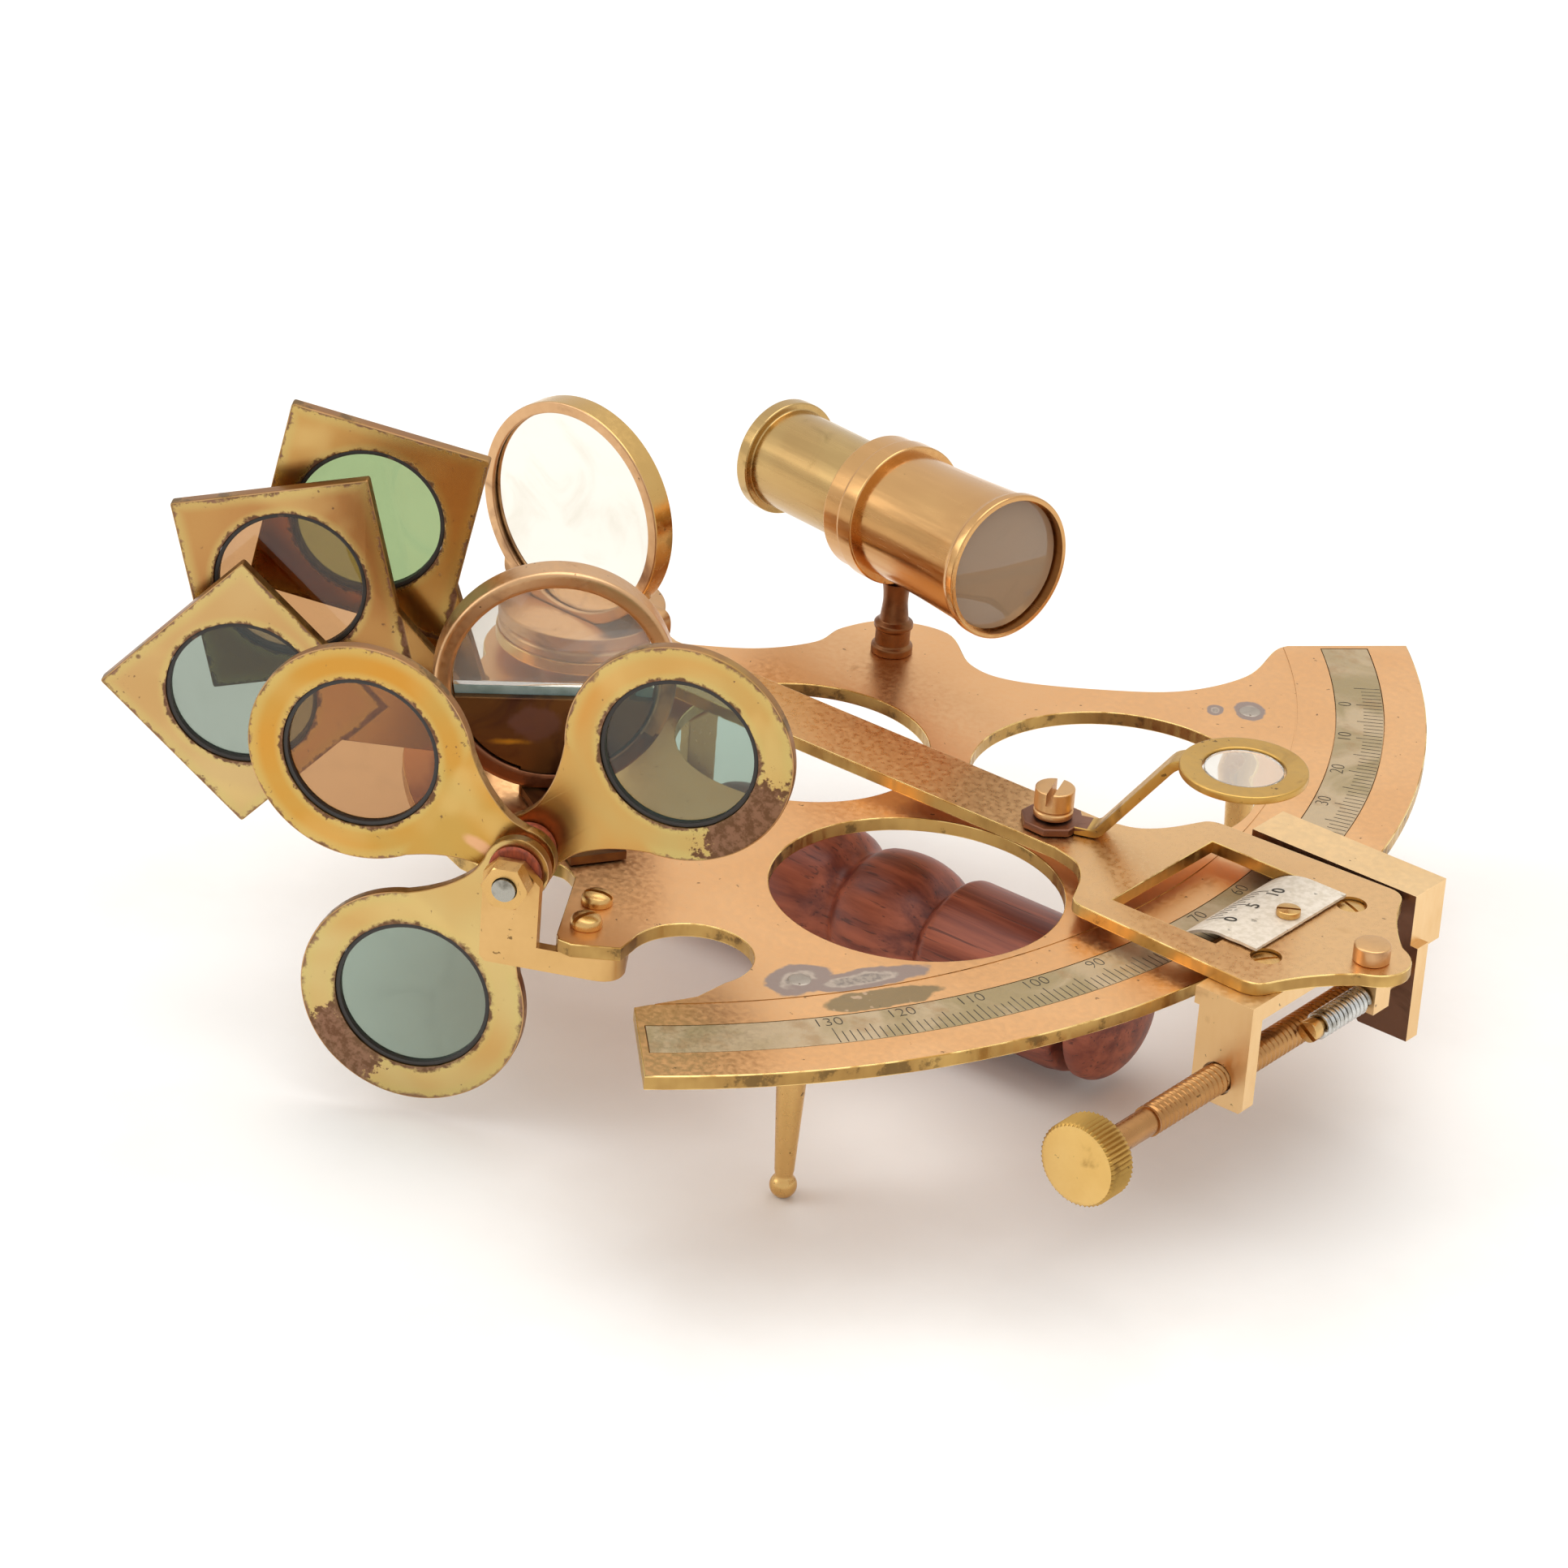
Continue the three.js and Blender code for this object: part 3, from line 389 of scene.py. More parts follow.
class Finish:
    """A material, with short calls for its nodes. Textures follow the piece's own frame."""

    def __init__(self, name, colour, roughness, metallic=1.0):
        self.material = bpy.data.materials.new(name)
        self.material.use_nodes = True
        self.nodes = self.material.node_tree.nodes
        self.links = self.material.node_tree.links
        self.shader = self.nodes["Principled BSDF"]
        self.place = self.nodes.new("ShaderNodeTexCoord").outputs["Object"]
        self.put(colour, self.shader.inputs["Base Color"])
        self.shader.inputs["Roughness"].default_value = roughness
        self.shader.inputs["Metallic"].default_value = metallic

    def put(self, value, socket):
        """Links a socket to another, or gives it a number, a vector or a colour."""
        if isinstance(value, bpy.types.NodeSocket):
            self.links.new(value, socket)
            return
        if isinstance(value, str):
            value = rgb(value)
        socket.default_value = (*value, 1) if socket.type == "RGBA" else value

    def stretched(self, stretch):
        node = self.nodes.new("ShaderNodeMapping")
        self.put(self.place, node.inputs["Vector"])
        node.inputs["Scale"].default_value = stretch
        return node.outputs["Vector"]

    def noise(self, scale, detail=4.0, stretch=None, distortion=0.0, roughness=0.55):
        node = self.nodes.new("ShaderNodeTexNoise")
        self.put(self.stretched(stretch) if stretch else self.place, node.inputs["Vector"])
        node.inputs["Scale"].default_value = scale
        node.inputs["Detail"].default_value = detail
        node.inputs["Roughness"].default_value = roughness
        node.inputs["Distortion"].default_value = distortion
        return node.outputs["Fac"]

    def cells(self, scale):
        node = self.nodes.new("ShaderNodeTexVoronoi")
        self.put(self.place, node.inputs["Vector"])
        node.inputs["Scale"].default_value = scale
        return node.outputs["Distance"]

    def between(self, value, low, high, to_low=0.0, to_high=1.0):
        """0 to 1, or two other numbers, as the value goes from low to high."""
        node = self.nodes.new("ShaderNodeMapRange")
        node.interpolation_type = "SMOOTHSTEP"
        self.put(value, node.inputs["Value"])
        for name, number in (("From Min", low), ("From Max", high), ("To Min", to_low), ("To Max", to_high)):
            node.inputs[name].default_value = number
        return node.outputs["Result"]

    def calculate(self, operation, a, b=0.0):
        node = self.nodes.new("ShaderNodeMath")
        node.operation = operation
        self.put(a, node.inputs[0])
        self.put(b, node.inputs[1])
        return node.outputs[0]

    def times(self, a, b):
        return self.calculate("MULTIPLY", a, b)

    def plus(self, a, b):
        return self.calculate("ADD", a, b)

    def minus(self, a, b):
        return self.calculate("SUBTRACT", a, b)

    def larger(self, a, b):
        return self.calculate("MAXIMUM", a, b)

    def over(self, a, b):
        return self.calculate("DIVIDE", a, b)

    def blended(self, factor, a, b):
        node = self.nodes.new("ShaderNodeMix")
        node.data_type = "RGBA"
        self.put(factor, node.inputs["Factor"])
        self.put(a, node.inputs["A"])
        self.put(b, node.inputs["B"])
        return next(o for o in node.outputs if o.type == "RGBA")

    def distance_from(self, point, flatten=(1, 1, 1)):
        """Millimetres from a point, with each axis scaled by flatten."""
        node = self.nodes.new("ShaderNodeVectorMath")
        node.operation = "SUBTRACT"
        self.put(self.place, node.inputs[0])
        node.inputs[1].default_value = Vector(point) * MM
        scaled = self.nodes.new("ShaderNodeVectorMath")
        scaled.operation = "MULTIPLY"
        self.put(node.outputs[0], scaled.inputs[0])
        scaled.inputs[1].default_value = Vector(flatten) / MM
        length = self.nodes.new("ShaderNodeVectorMath")
        length.operation = "LENGTH"
        self.put(scaled.outputs[0], length.inputs[0])
        return length.outputs["Value"]

    def split(self):
        """X, Y and Z of the piece's frame, in millimetres."""
        node = self.nodes.new("ShaderNodeSeparateXYZ")
        self.put(self.place, node.inputs[0])
        return [self.over(node.outputs[axis], MM) for axis in "XYZ"]

    def both(self, a, b):
        """The length of a step of a along one axis and b along the other."""
        squares = self.plus(self.times(a, a), self.times(b, b))
        return self.calculate("SQRT", squares)

    def colour(self, value):
        self.put(value, self.shader.inputs["Base Color"])
        return value

    def roughness(self, value):
        self.put(value, self.shader.inputs["Roughness"])

    def metal(self, value):
        self.put(value, self.shader.inputs["Metallic"])

    def relief(self, height, depth, strength=1.0):
        """Bump from a 0 to 1 height, depth in millimetres."""
        node = self.nodes.new("ShaderNodeBump")
        node.inputs["Strength"].default_value = strength
        node.inputs["Distance"].default_value = depth * MM
        self.put(height, node.inputs["Height"])
        self.put(node.outputs["Normal"], self.shader.inputs["Normal"])


def rgb(text):
    """A colour written as on screen, as linear light."""
    channels = [int(text[i:i + 2], 16) / 255 for i in (0, 2, 4)]
    return tuple(c / 12.92 if c <= 0.04045 else ((c + 0.055) / 1.055) ** 2.4 for c in channels)


def brass_finish(name, base, warm, dull, roughness, grain=(1, 1, 1), patina=0.5, pits=0.5):
    """Handled brass: warm and dull clouds, brushed grain, specks and small pits."""
    f = Finish(name, base, roughness)
    clouds = f.between(f.noise(28, 3, distortion=0.6), 0.38, 0.66)
    stain = f.between(f.noise(75, 6, distortion=1.2), 0.74 - 0.28 * patina, 0.86 - 0.2 * patina)
    specks = f.between(f.noise(620, 3), 0.735 - 0.05 * pits, 0.77 - 0.04 * pits)
    brushed = f.noise(900, 3, stretch=grain)
    first = f.blended(clouds, base, warm)
    second = f.blended(f.times(stain, 0.75), first, dull)
    third = f.blended(f.times(specks, 0.7), second, "4b3420")
    f.colour(third)
    satin = f.between(brushed, 0.3, 0.7, roughness - 0.05, roughness + 0.08)
    f.roughness(f.plus(satin, f.times(stain, 0.15)))
    f.relief(f.minus(brushed, specks), 0.005, 0.5)
    return f


def brass(*colours, **settings):
    return brass_finish(*colours, **settings).material


def near(f, distance, radius, spread, wobble):
    """1 inside a ragged patch of a given radius and 0 outside it."""
    ragged = f.plus(distance, f.times(f.minus(wobble, 0.5), spread))
    return f.between(ragged, radius - 0.7, radius + 0.5, 1.0, 0.0)


STAIN_LINE = 127.0
SOLDER_STAINS = [(121.6, -33.15, 4.9, 3.0), (123.9, -28.6, 3.0, 5.4), (118.7, 33.8, 2.9, 1.7),
                 (112.6, 33.4, 1.7, 1.2)]
TARNISHED_PATCH = (130.7, -28.3, 3.0, 4.9)


def limb_brass():
    """The limb's face: orange brass, with grey solder stains and a tarnished patch that follow the arc."""
    f = brass_finish("limb_brass", "e6b078", "ebb780", "c39762", 0.33, patina=0.2)
    colour = f.shader.inputs["Base Color"].links[0].from_socket
    x, y, _ = f.split()
    radius = f.both(x, y)
    angle = f.times(f.calculate("ARCTAN2", y, x), math.degrees(1))
    wobble = f.times(f.minus(f.noise(170, 3), 0.5), 0.9)
    speckle = f.between(f.noise(900, 4), 0.42, 0.6)

    def oval(at_radius, at_angle, half_height, half_length):
        """0 at the middle of an oval along the arc and 1 at its wavering rim."""
        across = f.over(f.minus(radius, at_radius), half_height)
        along = f.over(f.minus(angle, at_angle), half_length)
        return f.plus(f.both(across, along), wobble)

    inside = f.between(radius, STAIN_LINE - 0.3, STAIN_LINE, 1.0, 0.0)
    outside = f.between(radius, STAIN_LINE + 0.3, STAIN_LINE + 0.6)
    whole = 0.0
    for stain in SOLDER_STAINS:
        spread = oval(*stain)
        halo = f.times(f.between(spread, 0.9, 1.06, 1.0, 0.0), inside)
        centre = f.times(f.between(spread, 0.5, 0.66, 1.0, 0.0), inside)
        colour = f.blended(halo, colour, "937f74")
        whitish = f.times(f.between(spread, 0.34, 0.46), centre)
        speckled = f.blended(speckle, "a79888", "857a70")
        speckled = f.blended(f.times(whitish, 0.5), speckled, "cdb9a6")
        colour = f.blended(f.times(centre, 0.85), colour, speckled)
        whole = f.larger(whole, halo)
    tarnish = f.times(f.between(oval(*TARNISHED_PATCH), 0.9, 1.05, 1.0, 0.0), outside)
    spotted = f.blended(f.between(f.noise(330, 2), 0.62, 0.68), "87795a", "bfa78c")
    f.colour(f.blended(f.times(tarnish, 0.85), colour, spotted))
    f.metal(f.minus(1.0, f.times(whole, 0.5)))
    return f.material


def edge_brass(name="edge_brass", base="c4a060", dark=0.62):
    """Sawn and filed walls of a plate: yellow, with black and brown patches and upright file marks."""
    f = Finish(name, base, 0.35)
    patches = f.between(f.noise(120, 8, roughness=0.72), 0.64 - 0.16 * dark, 0.7 - 0.14 * dark)
    browned = f.between(f.noise(60, 4), 0.4, 0.62)
    marks = f.noise(700, 2, stretch=(1, 1, 0.12))
    colour = f.blended(browned, base, "a8834c")
    f.colour(f.blended(f.times(patches, 0.6), colour, "4c3d2a"))
    f.roughness(f.between(marks, 0.3, 0.7, 0.28, 0.5))
    f.relief(marks, 0.03, 0.6)
    return f.material


def rubbed_edge():
    """The bright line where handling has polished an edge."""
    f = Finish("rubbed_edge", "f0cd86", 0.22)
    worn = f.between(f.noise(160, 4), 0.45, 0.62)
    f.colour(f.blended(worn, "f0cd86", "b98c4c"))
    f.roughness(f.between(worn, 0, 1, 0.2, 0.38))
    return f.material


def shade_brass(name, centre, inner, outer, square, shade):
    """A lacquered shade frame: orange and yellow-green zones, brown rims and perhaps a pitted stretch."""
    f = Finish(name, shade["base"], 0.3)
    rust = shade["rust"]
    seed = shade["seed"]
    shifted = f.nodes.new("ShaderNodeVectorMath")
    shifted.operation = "ADD"
    f.put(f.place, shifted.inputs[0])
    shifted.inputs[1].default_value = (seed, seed * 0.7, seed * 1.3)
    real, f.place = f.place, shifted.outputs[0]
    zones = f.between(f.noise(26, 2, distortion=1.0), 0.32, 0.68)
    pale = f.between(f.noise(42, 2, distortion=0.8), 0.5, 0.68)
    ragged = f.noise(210, 5, roughness=0.65)
    fine = f.noise(700, 4, roughness=0.7)
    specks = f.between(f.noise(820, 3), 0.69, 0.73)
    few = f.between(f.noise(60, 2), 0.56, 0.6)
    dots = f.times(f.between(f.cells(170), 0.1, 0.14, 1.0, 0.0), few)
    f.place = real
    from_centre = f.distance_from(centre, (1, 0, 1))
    rim = from_centre
    x, _, z = f.split()
    on_ring = f.between(x, centre[0] - outer + 3.5, centre[0] - outer + 5.5)
    if square:
        across = f.calculate("ABSOLUTE", f.minus(x, centre[0]))
        along = f.calculate("ABSOLUTE", f.minus(z, centre[2]))
        rim = f.larger(across, along)
        on_ring = f.between(rim, outer + 0.3, outer + 0.8, 1.0, 0.0)
    colour = f.blended(zones, shade["base"], shade["second"])
    colour = f.blended(f.times(pale, 0.4), colour, "dcbf7c")
    outer_fringe = f.times(f.between(rim, outer - 2.6, outer - 0.6), on_ring)
    inner_fringe = f.between(from_centre, inner + 0.4, inner + 1.8, 1.0, 0.0)
    fringe = f.larger(outer_fringe, inner_fringe)
    colour = f.blended(f.times(fringe, 0.45), colour, "c9b974")
    wobble = f.times(f.minus(f.plus(ragged, fine), 1.0), 2.4)
    outer_line = f.between(f.plus(rim, wobble), outer - 0.5 - 0.5 * rust, outer - 0.1)
    outer_line = f.times(outer_line, on_ring)
    inner_line = f.between(f.plus(from_centre, wobble), inner + 0.1, inner + 0.4 + 0.6 * rust, 1.0, 0.0)
    browned_parts = f.larger(outer_line, inner_line)
    browned_parts = f.larger(browned_parts, f.times(dots, 0.8))
    if shade["worn"]:
        towards, size = shade["worn"]
        turn = math.radians(towards - shade["angle"])
        middle = (inner + outer) / 2 + 1.5
        spot = (centre[0] + middle * math.cos(turn), 0, centre[2] + middle * math.sin(turn))
        islands = f.plus(f.times(ragged, 0.6), f.times(fine, 0.4))
        pitted = near(f, f.distance_from(spot, (1, 0, 1)), size, 26, islands)
        browned_parts = f.larger(browned_parts, pitted)
    tarnish = f.blended(f.between(fine, 0.42, 0.6), "5e3a33", "866053")
    colour = f.blended(f.times(browned_parts, 0.88), colour, tarnish)
    if shade["bare"]:
        bare = near(f, f.distance_from((7.5, 0, 2.2), (0.55, 0, 1.3)), 1.5, 1.5, ragged)
        colour = f.blended(f.times(bare, 0.7), colour, "e8b08c")
    f.colour(f.blended(f.times(specks, 0.7), colour, "5a3f3a"))
    f.roughness(f.between(browned_parts, 0, 1, 0.27, 0.46))
    f.relief(f.minus(f.times(fine, 0.15), browned_parts), 0.025, 0.5)
    return f.material


def wood():
    """Red hardwood with long dark grain under old polish."""
    f = Finish("rosewood", "6e2f20", 0.33, 0)
    grain = f.noise(330, 5, stretch=(1, 1, 0.05), distortion=0.3, roughness=0.6)
    pores = f.between(f.noise(1500, 3, stretch=(1, 1, 0.03)), 0.6, 0.68)
    figure = f.noise(55, 3, stretch=(1, 1, 0.25), distortion=0.6)
    colour = f.blended(f.between(grain, 0.3, 0.7), "67291b", "a85a3e")
    colour = f.blended(f.between(figure, 0.45, 0.7, 0.0, 0.55), colour, "8a432e")
    f.colour(f.blended(f.times(pores, 0.7), colour, "3c1610"))
    f.roughness(f.between(grain, 0.3, 0.7, 0.42, 0.54))
    f.shader.inputs["Coat Weight"].default_value = 0.12
    f.shader.inputs["Coat Roughness"].default_value = 0.3
    f.relief(f.minus(grain, pores), 0.05, 0.5)
    return f.material


def silvered():
    """The silvered scale: greenish grey white metal with rubbed and tarnished streaks."""
    f = Finish("silvered_scale", "b4ad92", 0.42)
    streaks = f.between(f.noise(60, 5, distortion=1.0), 0.4, 0.62)
    dull = f.between(f.noise(130, 6, roughness=0.65), 0.52, 0.68)
    colour = f.blended(streaks, "bfa886", "a38f68")
    f.colour(f.blended(f.times(dull, 0.5), colour, "a07b50"))
    fine = f.noise(1400, 3)
    f.roughness(f.between(fine, 0.3, 0.7, 0.36, 0.52))
    f.metal(0.75)
    f.relief(fine, 0.01, 0.5)
    return f.material


def vernier_metal():
    """The vernier's sheet: pale grey, brushed, with small dark marks."""
    f = Finish("vernier_metal", "dccfbc", 0.5)
    brushed = f.noise(900, 3)
    marks = f.between(f.noise(340, 4), 0.66, 0.72)
    colour = f.blended(f.between(brushed, 0.35, 0.65), "dfd3c2", "cfc2ae")
    f.colour(f.blended(f.times(marks, 0.7), colour, "6f6455"))
    f.roughness(f.between(brushed, 0.3, 0.7, 0.48, 0.6))
    f.metal(0.4)
    f.relief(brushed, 0.002, 0.5)
    return f.material


def engraved():
    """Dark filling of engraved marks, thin in places."""
    f = Finish("engraved_marks", "4c463c", 0.7, 0.2)
    f.colour(f.blended(f.between(f.noise(300, 3), 0.5, 0.7), "2f2a22", "665d4c"))
    return f.material


def steel(name="steel", base="c4c6c8", dull="8a8580"):
    f = Finish(name, base, 0.26)
    f.colour(f.blended(f.between(f.noise(260, 4), 0.5, 0.68), base, dull))
    fine = f.noise(1600, 2)
    f.roughness(f.between(fine, 0.3, 0.7, 0.2, 0.36))
    f.relief(fine, 0.01, 0.4)
    return f.material


def fibre(name, base):
    f = Finish(name, base, 0.75, 0)
    threads = f.noise(1300, 4, stretch=(1, 0.3, 1))
    f.colour(f.blended(f.between(threads, 0.35, 0.7), base, "6b2c18"))
    f.relief(threads, 0.05, 0.7)
    return f.material


def glass(name, tint, clear=1.0):
    """Polished glass, tinted, with faint smears. Where clear is under 1, old dust or coating veils it."""
    polish = 0.02
    f = Finish(name, tint, polish, 0)
    f.shader.inputs["Transmission Weight"].default_value = clear
    f.shader.inputs["IOR"].default_value = 1.5
    smears = f.between(f.noise(90, 5, distortion=1.5), 0.5, 0.75)
    f.roughness(f.plus(f.times(smears, 0.015), polish))
    darker = tuple(c * 0.94 for c in rgb(tint))
    f.colour(f.blended(smears, tint, darker))
    return f.material


def silver_back():
    """The painted back of the silvering, seen as a thin teal grey line above the brown backing."""
    f = Finish("silver_back", "9db3af", 0.35, 0)
    f.colour(f.blended(f.between(f.noise(240, 4), 0.4, 0.65), "a3b8b4", "8ba19c"))
    return f.material


def mirror():
    f = Finish("mirror", "e9ecea", 0.03)
    smears = f.between(f.noise(70, 5, distortion=1.2), 0.48, 0.74)
    f.colour(f.blended(smears, "efece4", "e2ded3"))
    f.roughness(f.between(smears, 0, 1, 0.02, 0.07))
    return f.material


def blackened():
    """Dull black paint, chipped to brown."""
    f = Finish("black_seat", "2b2622", 0.5, 0)
    chips = f.between(f.noise(240, 5), 0.62, 0.7)
    f.colour(f.blended(f.times(chips, 0.6), "2b2622", "6b4a35"))
    f.relief(f.noise(800, 3), 0.02, 0.5)
    return f.material


def browned():
    """The darkened backing of the horizon glass: brown with a purple bloom and a yellow streak low down."""
    f = Finish("browned_backing", "8d6246", 0.3)
    clouds = f.between(f.noise(60, 4, distortion=1.5), 0.4, 0.62)
    colour = f.blended(clouds, "5c3e33", "7d5a38")
    bloom = near(f, f.distance_from((-3, 0, -8), (1, 0, 1)), 4.2, 6, f.noise(150, 4))
    colour = f.blended(f.times(bloom, 0.7), colour, "84645f")
    streak = near(f, f.distance_from((-7, 0, -11.6), (0.32, 0, 1.6)), 0.9, 1.6, f.noise(260, 4))
    f.colour(f.blended(streak, colour, "d6a540"))
    f.roughness(f.between(clouds, 0, 1, 0.3, 0.42))
    f.relief(f.noise(700, 4), 0.02, 0.5)
    return f.material


LIMB = limb_brass()
ARM = brass("arm_brass", "dbae78", "e2b680", "c0955f", 0.3, patina=0.15)
PLAIN = brass("plain_brass", "d4a772", "deb27e", "a87c50", 0.32, patina=0.5)
YELLOW = brass("yellow_brass", "d2a868", "dbb375", "967244", 0.3, patina=0.5, pits=0.8)
CAST = brass("cast_brass", "bd9264", "cb9f70", "765440", 0.36, patina=0.8, pits=1.0)
COPPERY = brass("coppery_brass", "cba074", "d8ae82", "7c5540", 0.34, patina=0.75, pits=0.9)
TUBE = brass("tube_brass", "cf9f68", "d8aa70", "9c7446", 0.2, grain=(1, 1, 0.05), patina=0.45)
DRAW = brass("draw_brass", "bd9a64", "c7a76e", "83693c", 0.22, grain=(1, 1, 0.05), patina=0.6)
DARK = brass("dark_brass", "86593a", "96683f", "4a2d1e", 0.36, patina=0.8)
EDGE = edge_brass()
CLEAN_EDGE = edge_brass("clean_edge_brass", "cba664", 0.15)
RIM = edge_brass("shade_rim", "9a6f48", 0.7)
BRIGHT = rubbed_edge()
SILVER = silvered()
VERNIER = vernier_metal()
MARKS = engraved()
STEEL = steel()
BOLT_STEEL = steel("bolt_steel", "a8a59c", "77736a")
SPRING = steel("spring_steel", "d2d2cf", "8f8a80")
RED_FIBRE = fibre("red_fibre", "9c4626")
PINK_FIBRE = fibre("pink_fibre", "b4705f")
WOOD = wood()
BLACK = blackened()
SOLDER = brass("solder", "a3988c", "b5aa9d", "7f756a", 0.5, patina=0.8, pits=1.0)
RING = brass("ring_brass", "c9a05e", "d3ac6a", "8f7038", 0.2, patina=0.6)
# Dark brown for the horizon ring's lower part: brown tarnish, and painted shade where the backing and shades
# shadow it.
RING_TARNISH_AND_SHADE = brass("ring_tarnish_and_painted_shade", "7a4c38", "8a5a40", "4f3024", 0.36, patina=0.8)
MIRROR = mirror()
BACKING = browned()
OBJECTIVE = glass("objective_glass", "cdb091", clear=0.55)
DUSTY = glass("dusty_glass", "f4f1ea", clear=0.8)
SILVER_BACK = silver_back()
READING = brass("reading_brass", "c39a52", "cfa860", "7a5a35", 0.34, patina=0.8, pits=1.0)
PURPLED = brass("purpled_brass", "7d5644", "8c6450", "543a30", 0.38, patina=0.7)
CLEAN = brass("filed_brass", "e6c08a", "ecc894", "ba9064", 0.36, patina=0.35, grain=(1, 1, 0.3))
# Dark brown for the clamp's front face: painted shade and a painted dark reflection.
CLAMP_PAINTED_SHADE = brass("clamp_front_painted_shade", "7a5a48", "866452", "4e382c", 0.4, patina=0.8)
SCREW_BRASS = brass("screw_brass", "ab7c4c", "b98b58", "5c3a26", 0.3, patina=0.7)
KNOB = brass("knob_brass", "dcb46c", "e5c07a", "98743c", 0.36, patina=0.7, pits=0.9)
KNOB_RIM = brass("knob_rim_brass", "b08a48", "c29b55", "694720", 0.38, patina=0.7)
BRACKET = brass("bracket_brass", "cfa568", "d9b074", "a07d4c", 0.34, patina=0.35, pits=0.9)
BRIGHT_RIM = edge_brass("shade_worn_edge", "c9a070", 0.35)

# ---- Frame ----


def limb_outline():
    half = math.radians(ARC_HALF_ANGLE)
    back_end = (ARC_INNER * math.cos(half), ARC_INNER * math.sin(half))
    front_end = (back_end[0], -back_end[1])
    points = arc(0, 0, LIMB_RADIUS, -ARC_HALF_ANGLE, ARC_HALF_ANGLE, 1.2) + [back_end]
    points += through([back_end, (88, 89), (90.2, 77), (85.5, 64), (75, 54), (62, 45.5), (53, 45),
                       (42.5, 52), (32, 48.5), (27.8, 40), (27.8, 32), (22, 22.3), (11.5, 14)])
    points += arc(0, 0, 17, 70, 232)
    points += through([points[-1], (-5, -30), (2, -49), (14, -62), (27, -70.5)])
    points += [(35.8, -73.9), (40.8, -74.1)]
    points += through([(40.8, -74.1), (44.5, -67), (49.6, -64.3), (54, -66)])
    points += [(64.2, -83), (65.5, -84), (68, -83.9), (74.7, -79.1)]
    points += arc(84, -72.5, 10.3, 195, -18)
    return points + [(93.4, -82.5), front_end]


def band(inner, outer, half_angle):
    return arc(0, 0, outer, -half_angle, half_angle, 1) + arc(0, 0, inner, half_angle, -half_angle, 1)


def make_limb():
    holes = [circle(*hole) for hole in LIMB_HOLES]
    body = plate([limb_outline(), *holes], PLATE_BOTTOM, PLATE_TOP, 0.2)
    groove = plate([band(SCALE_INNER - 0.16, SCALE_OUTER + 0.16, SCALE_HALF_ANGLE + 0.08)], PLATE_TOP - 0.6,
                   PLATE_TOP + 1, 0)
    line = plate([band(STAIN_LINE - 0.17, STAIN_LINE + 0.17, ARC_HALF_ANGLE + 1)], PLATE_TOP - 0.12,
                 PLATE_TOP + 1, 0)
    limb = add("limb_plate", cut(body, groove, line), [LIMB, EDGE, BRIGHT], "frame_plate")
    paint_edges(limb)
    boss = hoop([(3.1, PLATE_TOP), (8, PLATE_TOP), (8, ARM_BOTTOM), (3.1, ARM_BOTTOM)], 0.3)
    add("pivot_boss", boss, PLAIN)


def make_scale():
    edge = band(SCALE_INNER, SCALE_OUTER, SCALE_HALF_ANGLE)
    add("scale_band", plate([edge], PLATE_TOP - 0.6, PLATE_TOP, 0.06), SILVER, "scale_arc")


def reading_angle(reading):
    """Where a reading of the scale lies on the arc."""
    return 1.7285 - 0.5361 * (reading - 65)


def numeral(text, size, thinned=0.025):
    """The digits of a number as a thin flat mesh, centred on the origin, in millimetres."""
    curve = bpy.data.curves.new("digits", "FONT")
    curve.body = text
    curve.size = size
    curve.align_x = "CENTER"
    curve.align_y = "CENTER"
    curve.extrude = 0.02
    curve.offset = -thinned * size
    mesh = baked(linked("digits", curve))
    mesh.transform(Matrix.Scale(MM, 4))
    return mesh


def make_scale_marks():
    """A mark for each degree, longer at fives, and a number at each ten with its top to the pivot."""
    marks = []
    surface = PLATE_TOP + 0.02
    mark_end = SCALE_OUTER - 0.15
    for reading in range(-5, 131):
        length = 4.6 if reading % 5 == 0 else 3.4
        turn = spin(reading_angle(reading))
        mark = brick(mark_end - length, mark_end, -0.08, 0.08, surface - 0.04, surface)
        marks.append(moved(mark, turn=turn))
    number_radius = SCALE_INNER + 1.75
    for reading in range(0, 131, 10):
        angle = math.radians(reading_angle(reading))
        x, y = number_radius * math.cos(angle), number_radius * math.sin(angle)
        turn = Matrix.Rotation(angle + math.radians(90), 4, "Z")
        marks.append(moved(numeral(str(reading), 3.5), x, y, surface, turn))
    add("scale_marks", merged(marks), MARKS)


def make_leg(name, x, y):
    ball = arc(0, 2.3, 2.3, -90, 45, 9)
    ball[0] = (0, 0)
    stem = soften([ball[-1], (1.5, 4.4), (1.65, 5.2), (3.3, PLATE_BOTTOM), (2.0, PLATE_BOTTOM),
                   (2.0, PLATE_TOP + 0.05), (1.5, PLATE_TOP + 0.15), (0, PLATE_TOP + 0.15)], 0.25, False)
    leg = add(name + "_turned", turned(ball[:-1] + stem), [YELLOW, SOLDER], name,
              group(x, y, 0))
    paint(leg, lambda face: face.center.z > (PLATE_TOP - 0.1) * MM)


def make_pivot():
    foot = soften([(0, 0), (4, 0), (4, 2), (2, 5), (3.2, 35.5), (0, 35.5)], 0.5, False)
    add("leg_apex_turned", turned(foot), YELLOW, "leg_apex")
    low = PLATE_BOTTOM - 3
    top = ARM_TOP - 0.2
    spindle = [(0, low), (7, low), (7, PLATE_BOTTOM), (3, PLATE_BOTTOM), (3, top), (0, top)]
    add("pivot_spindle_turned", lathe(spindle, 0.4), STEEL, "pivot_spindle")


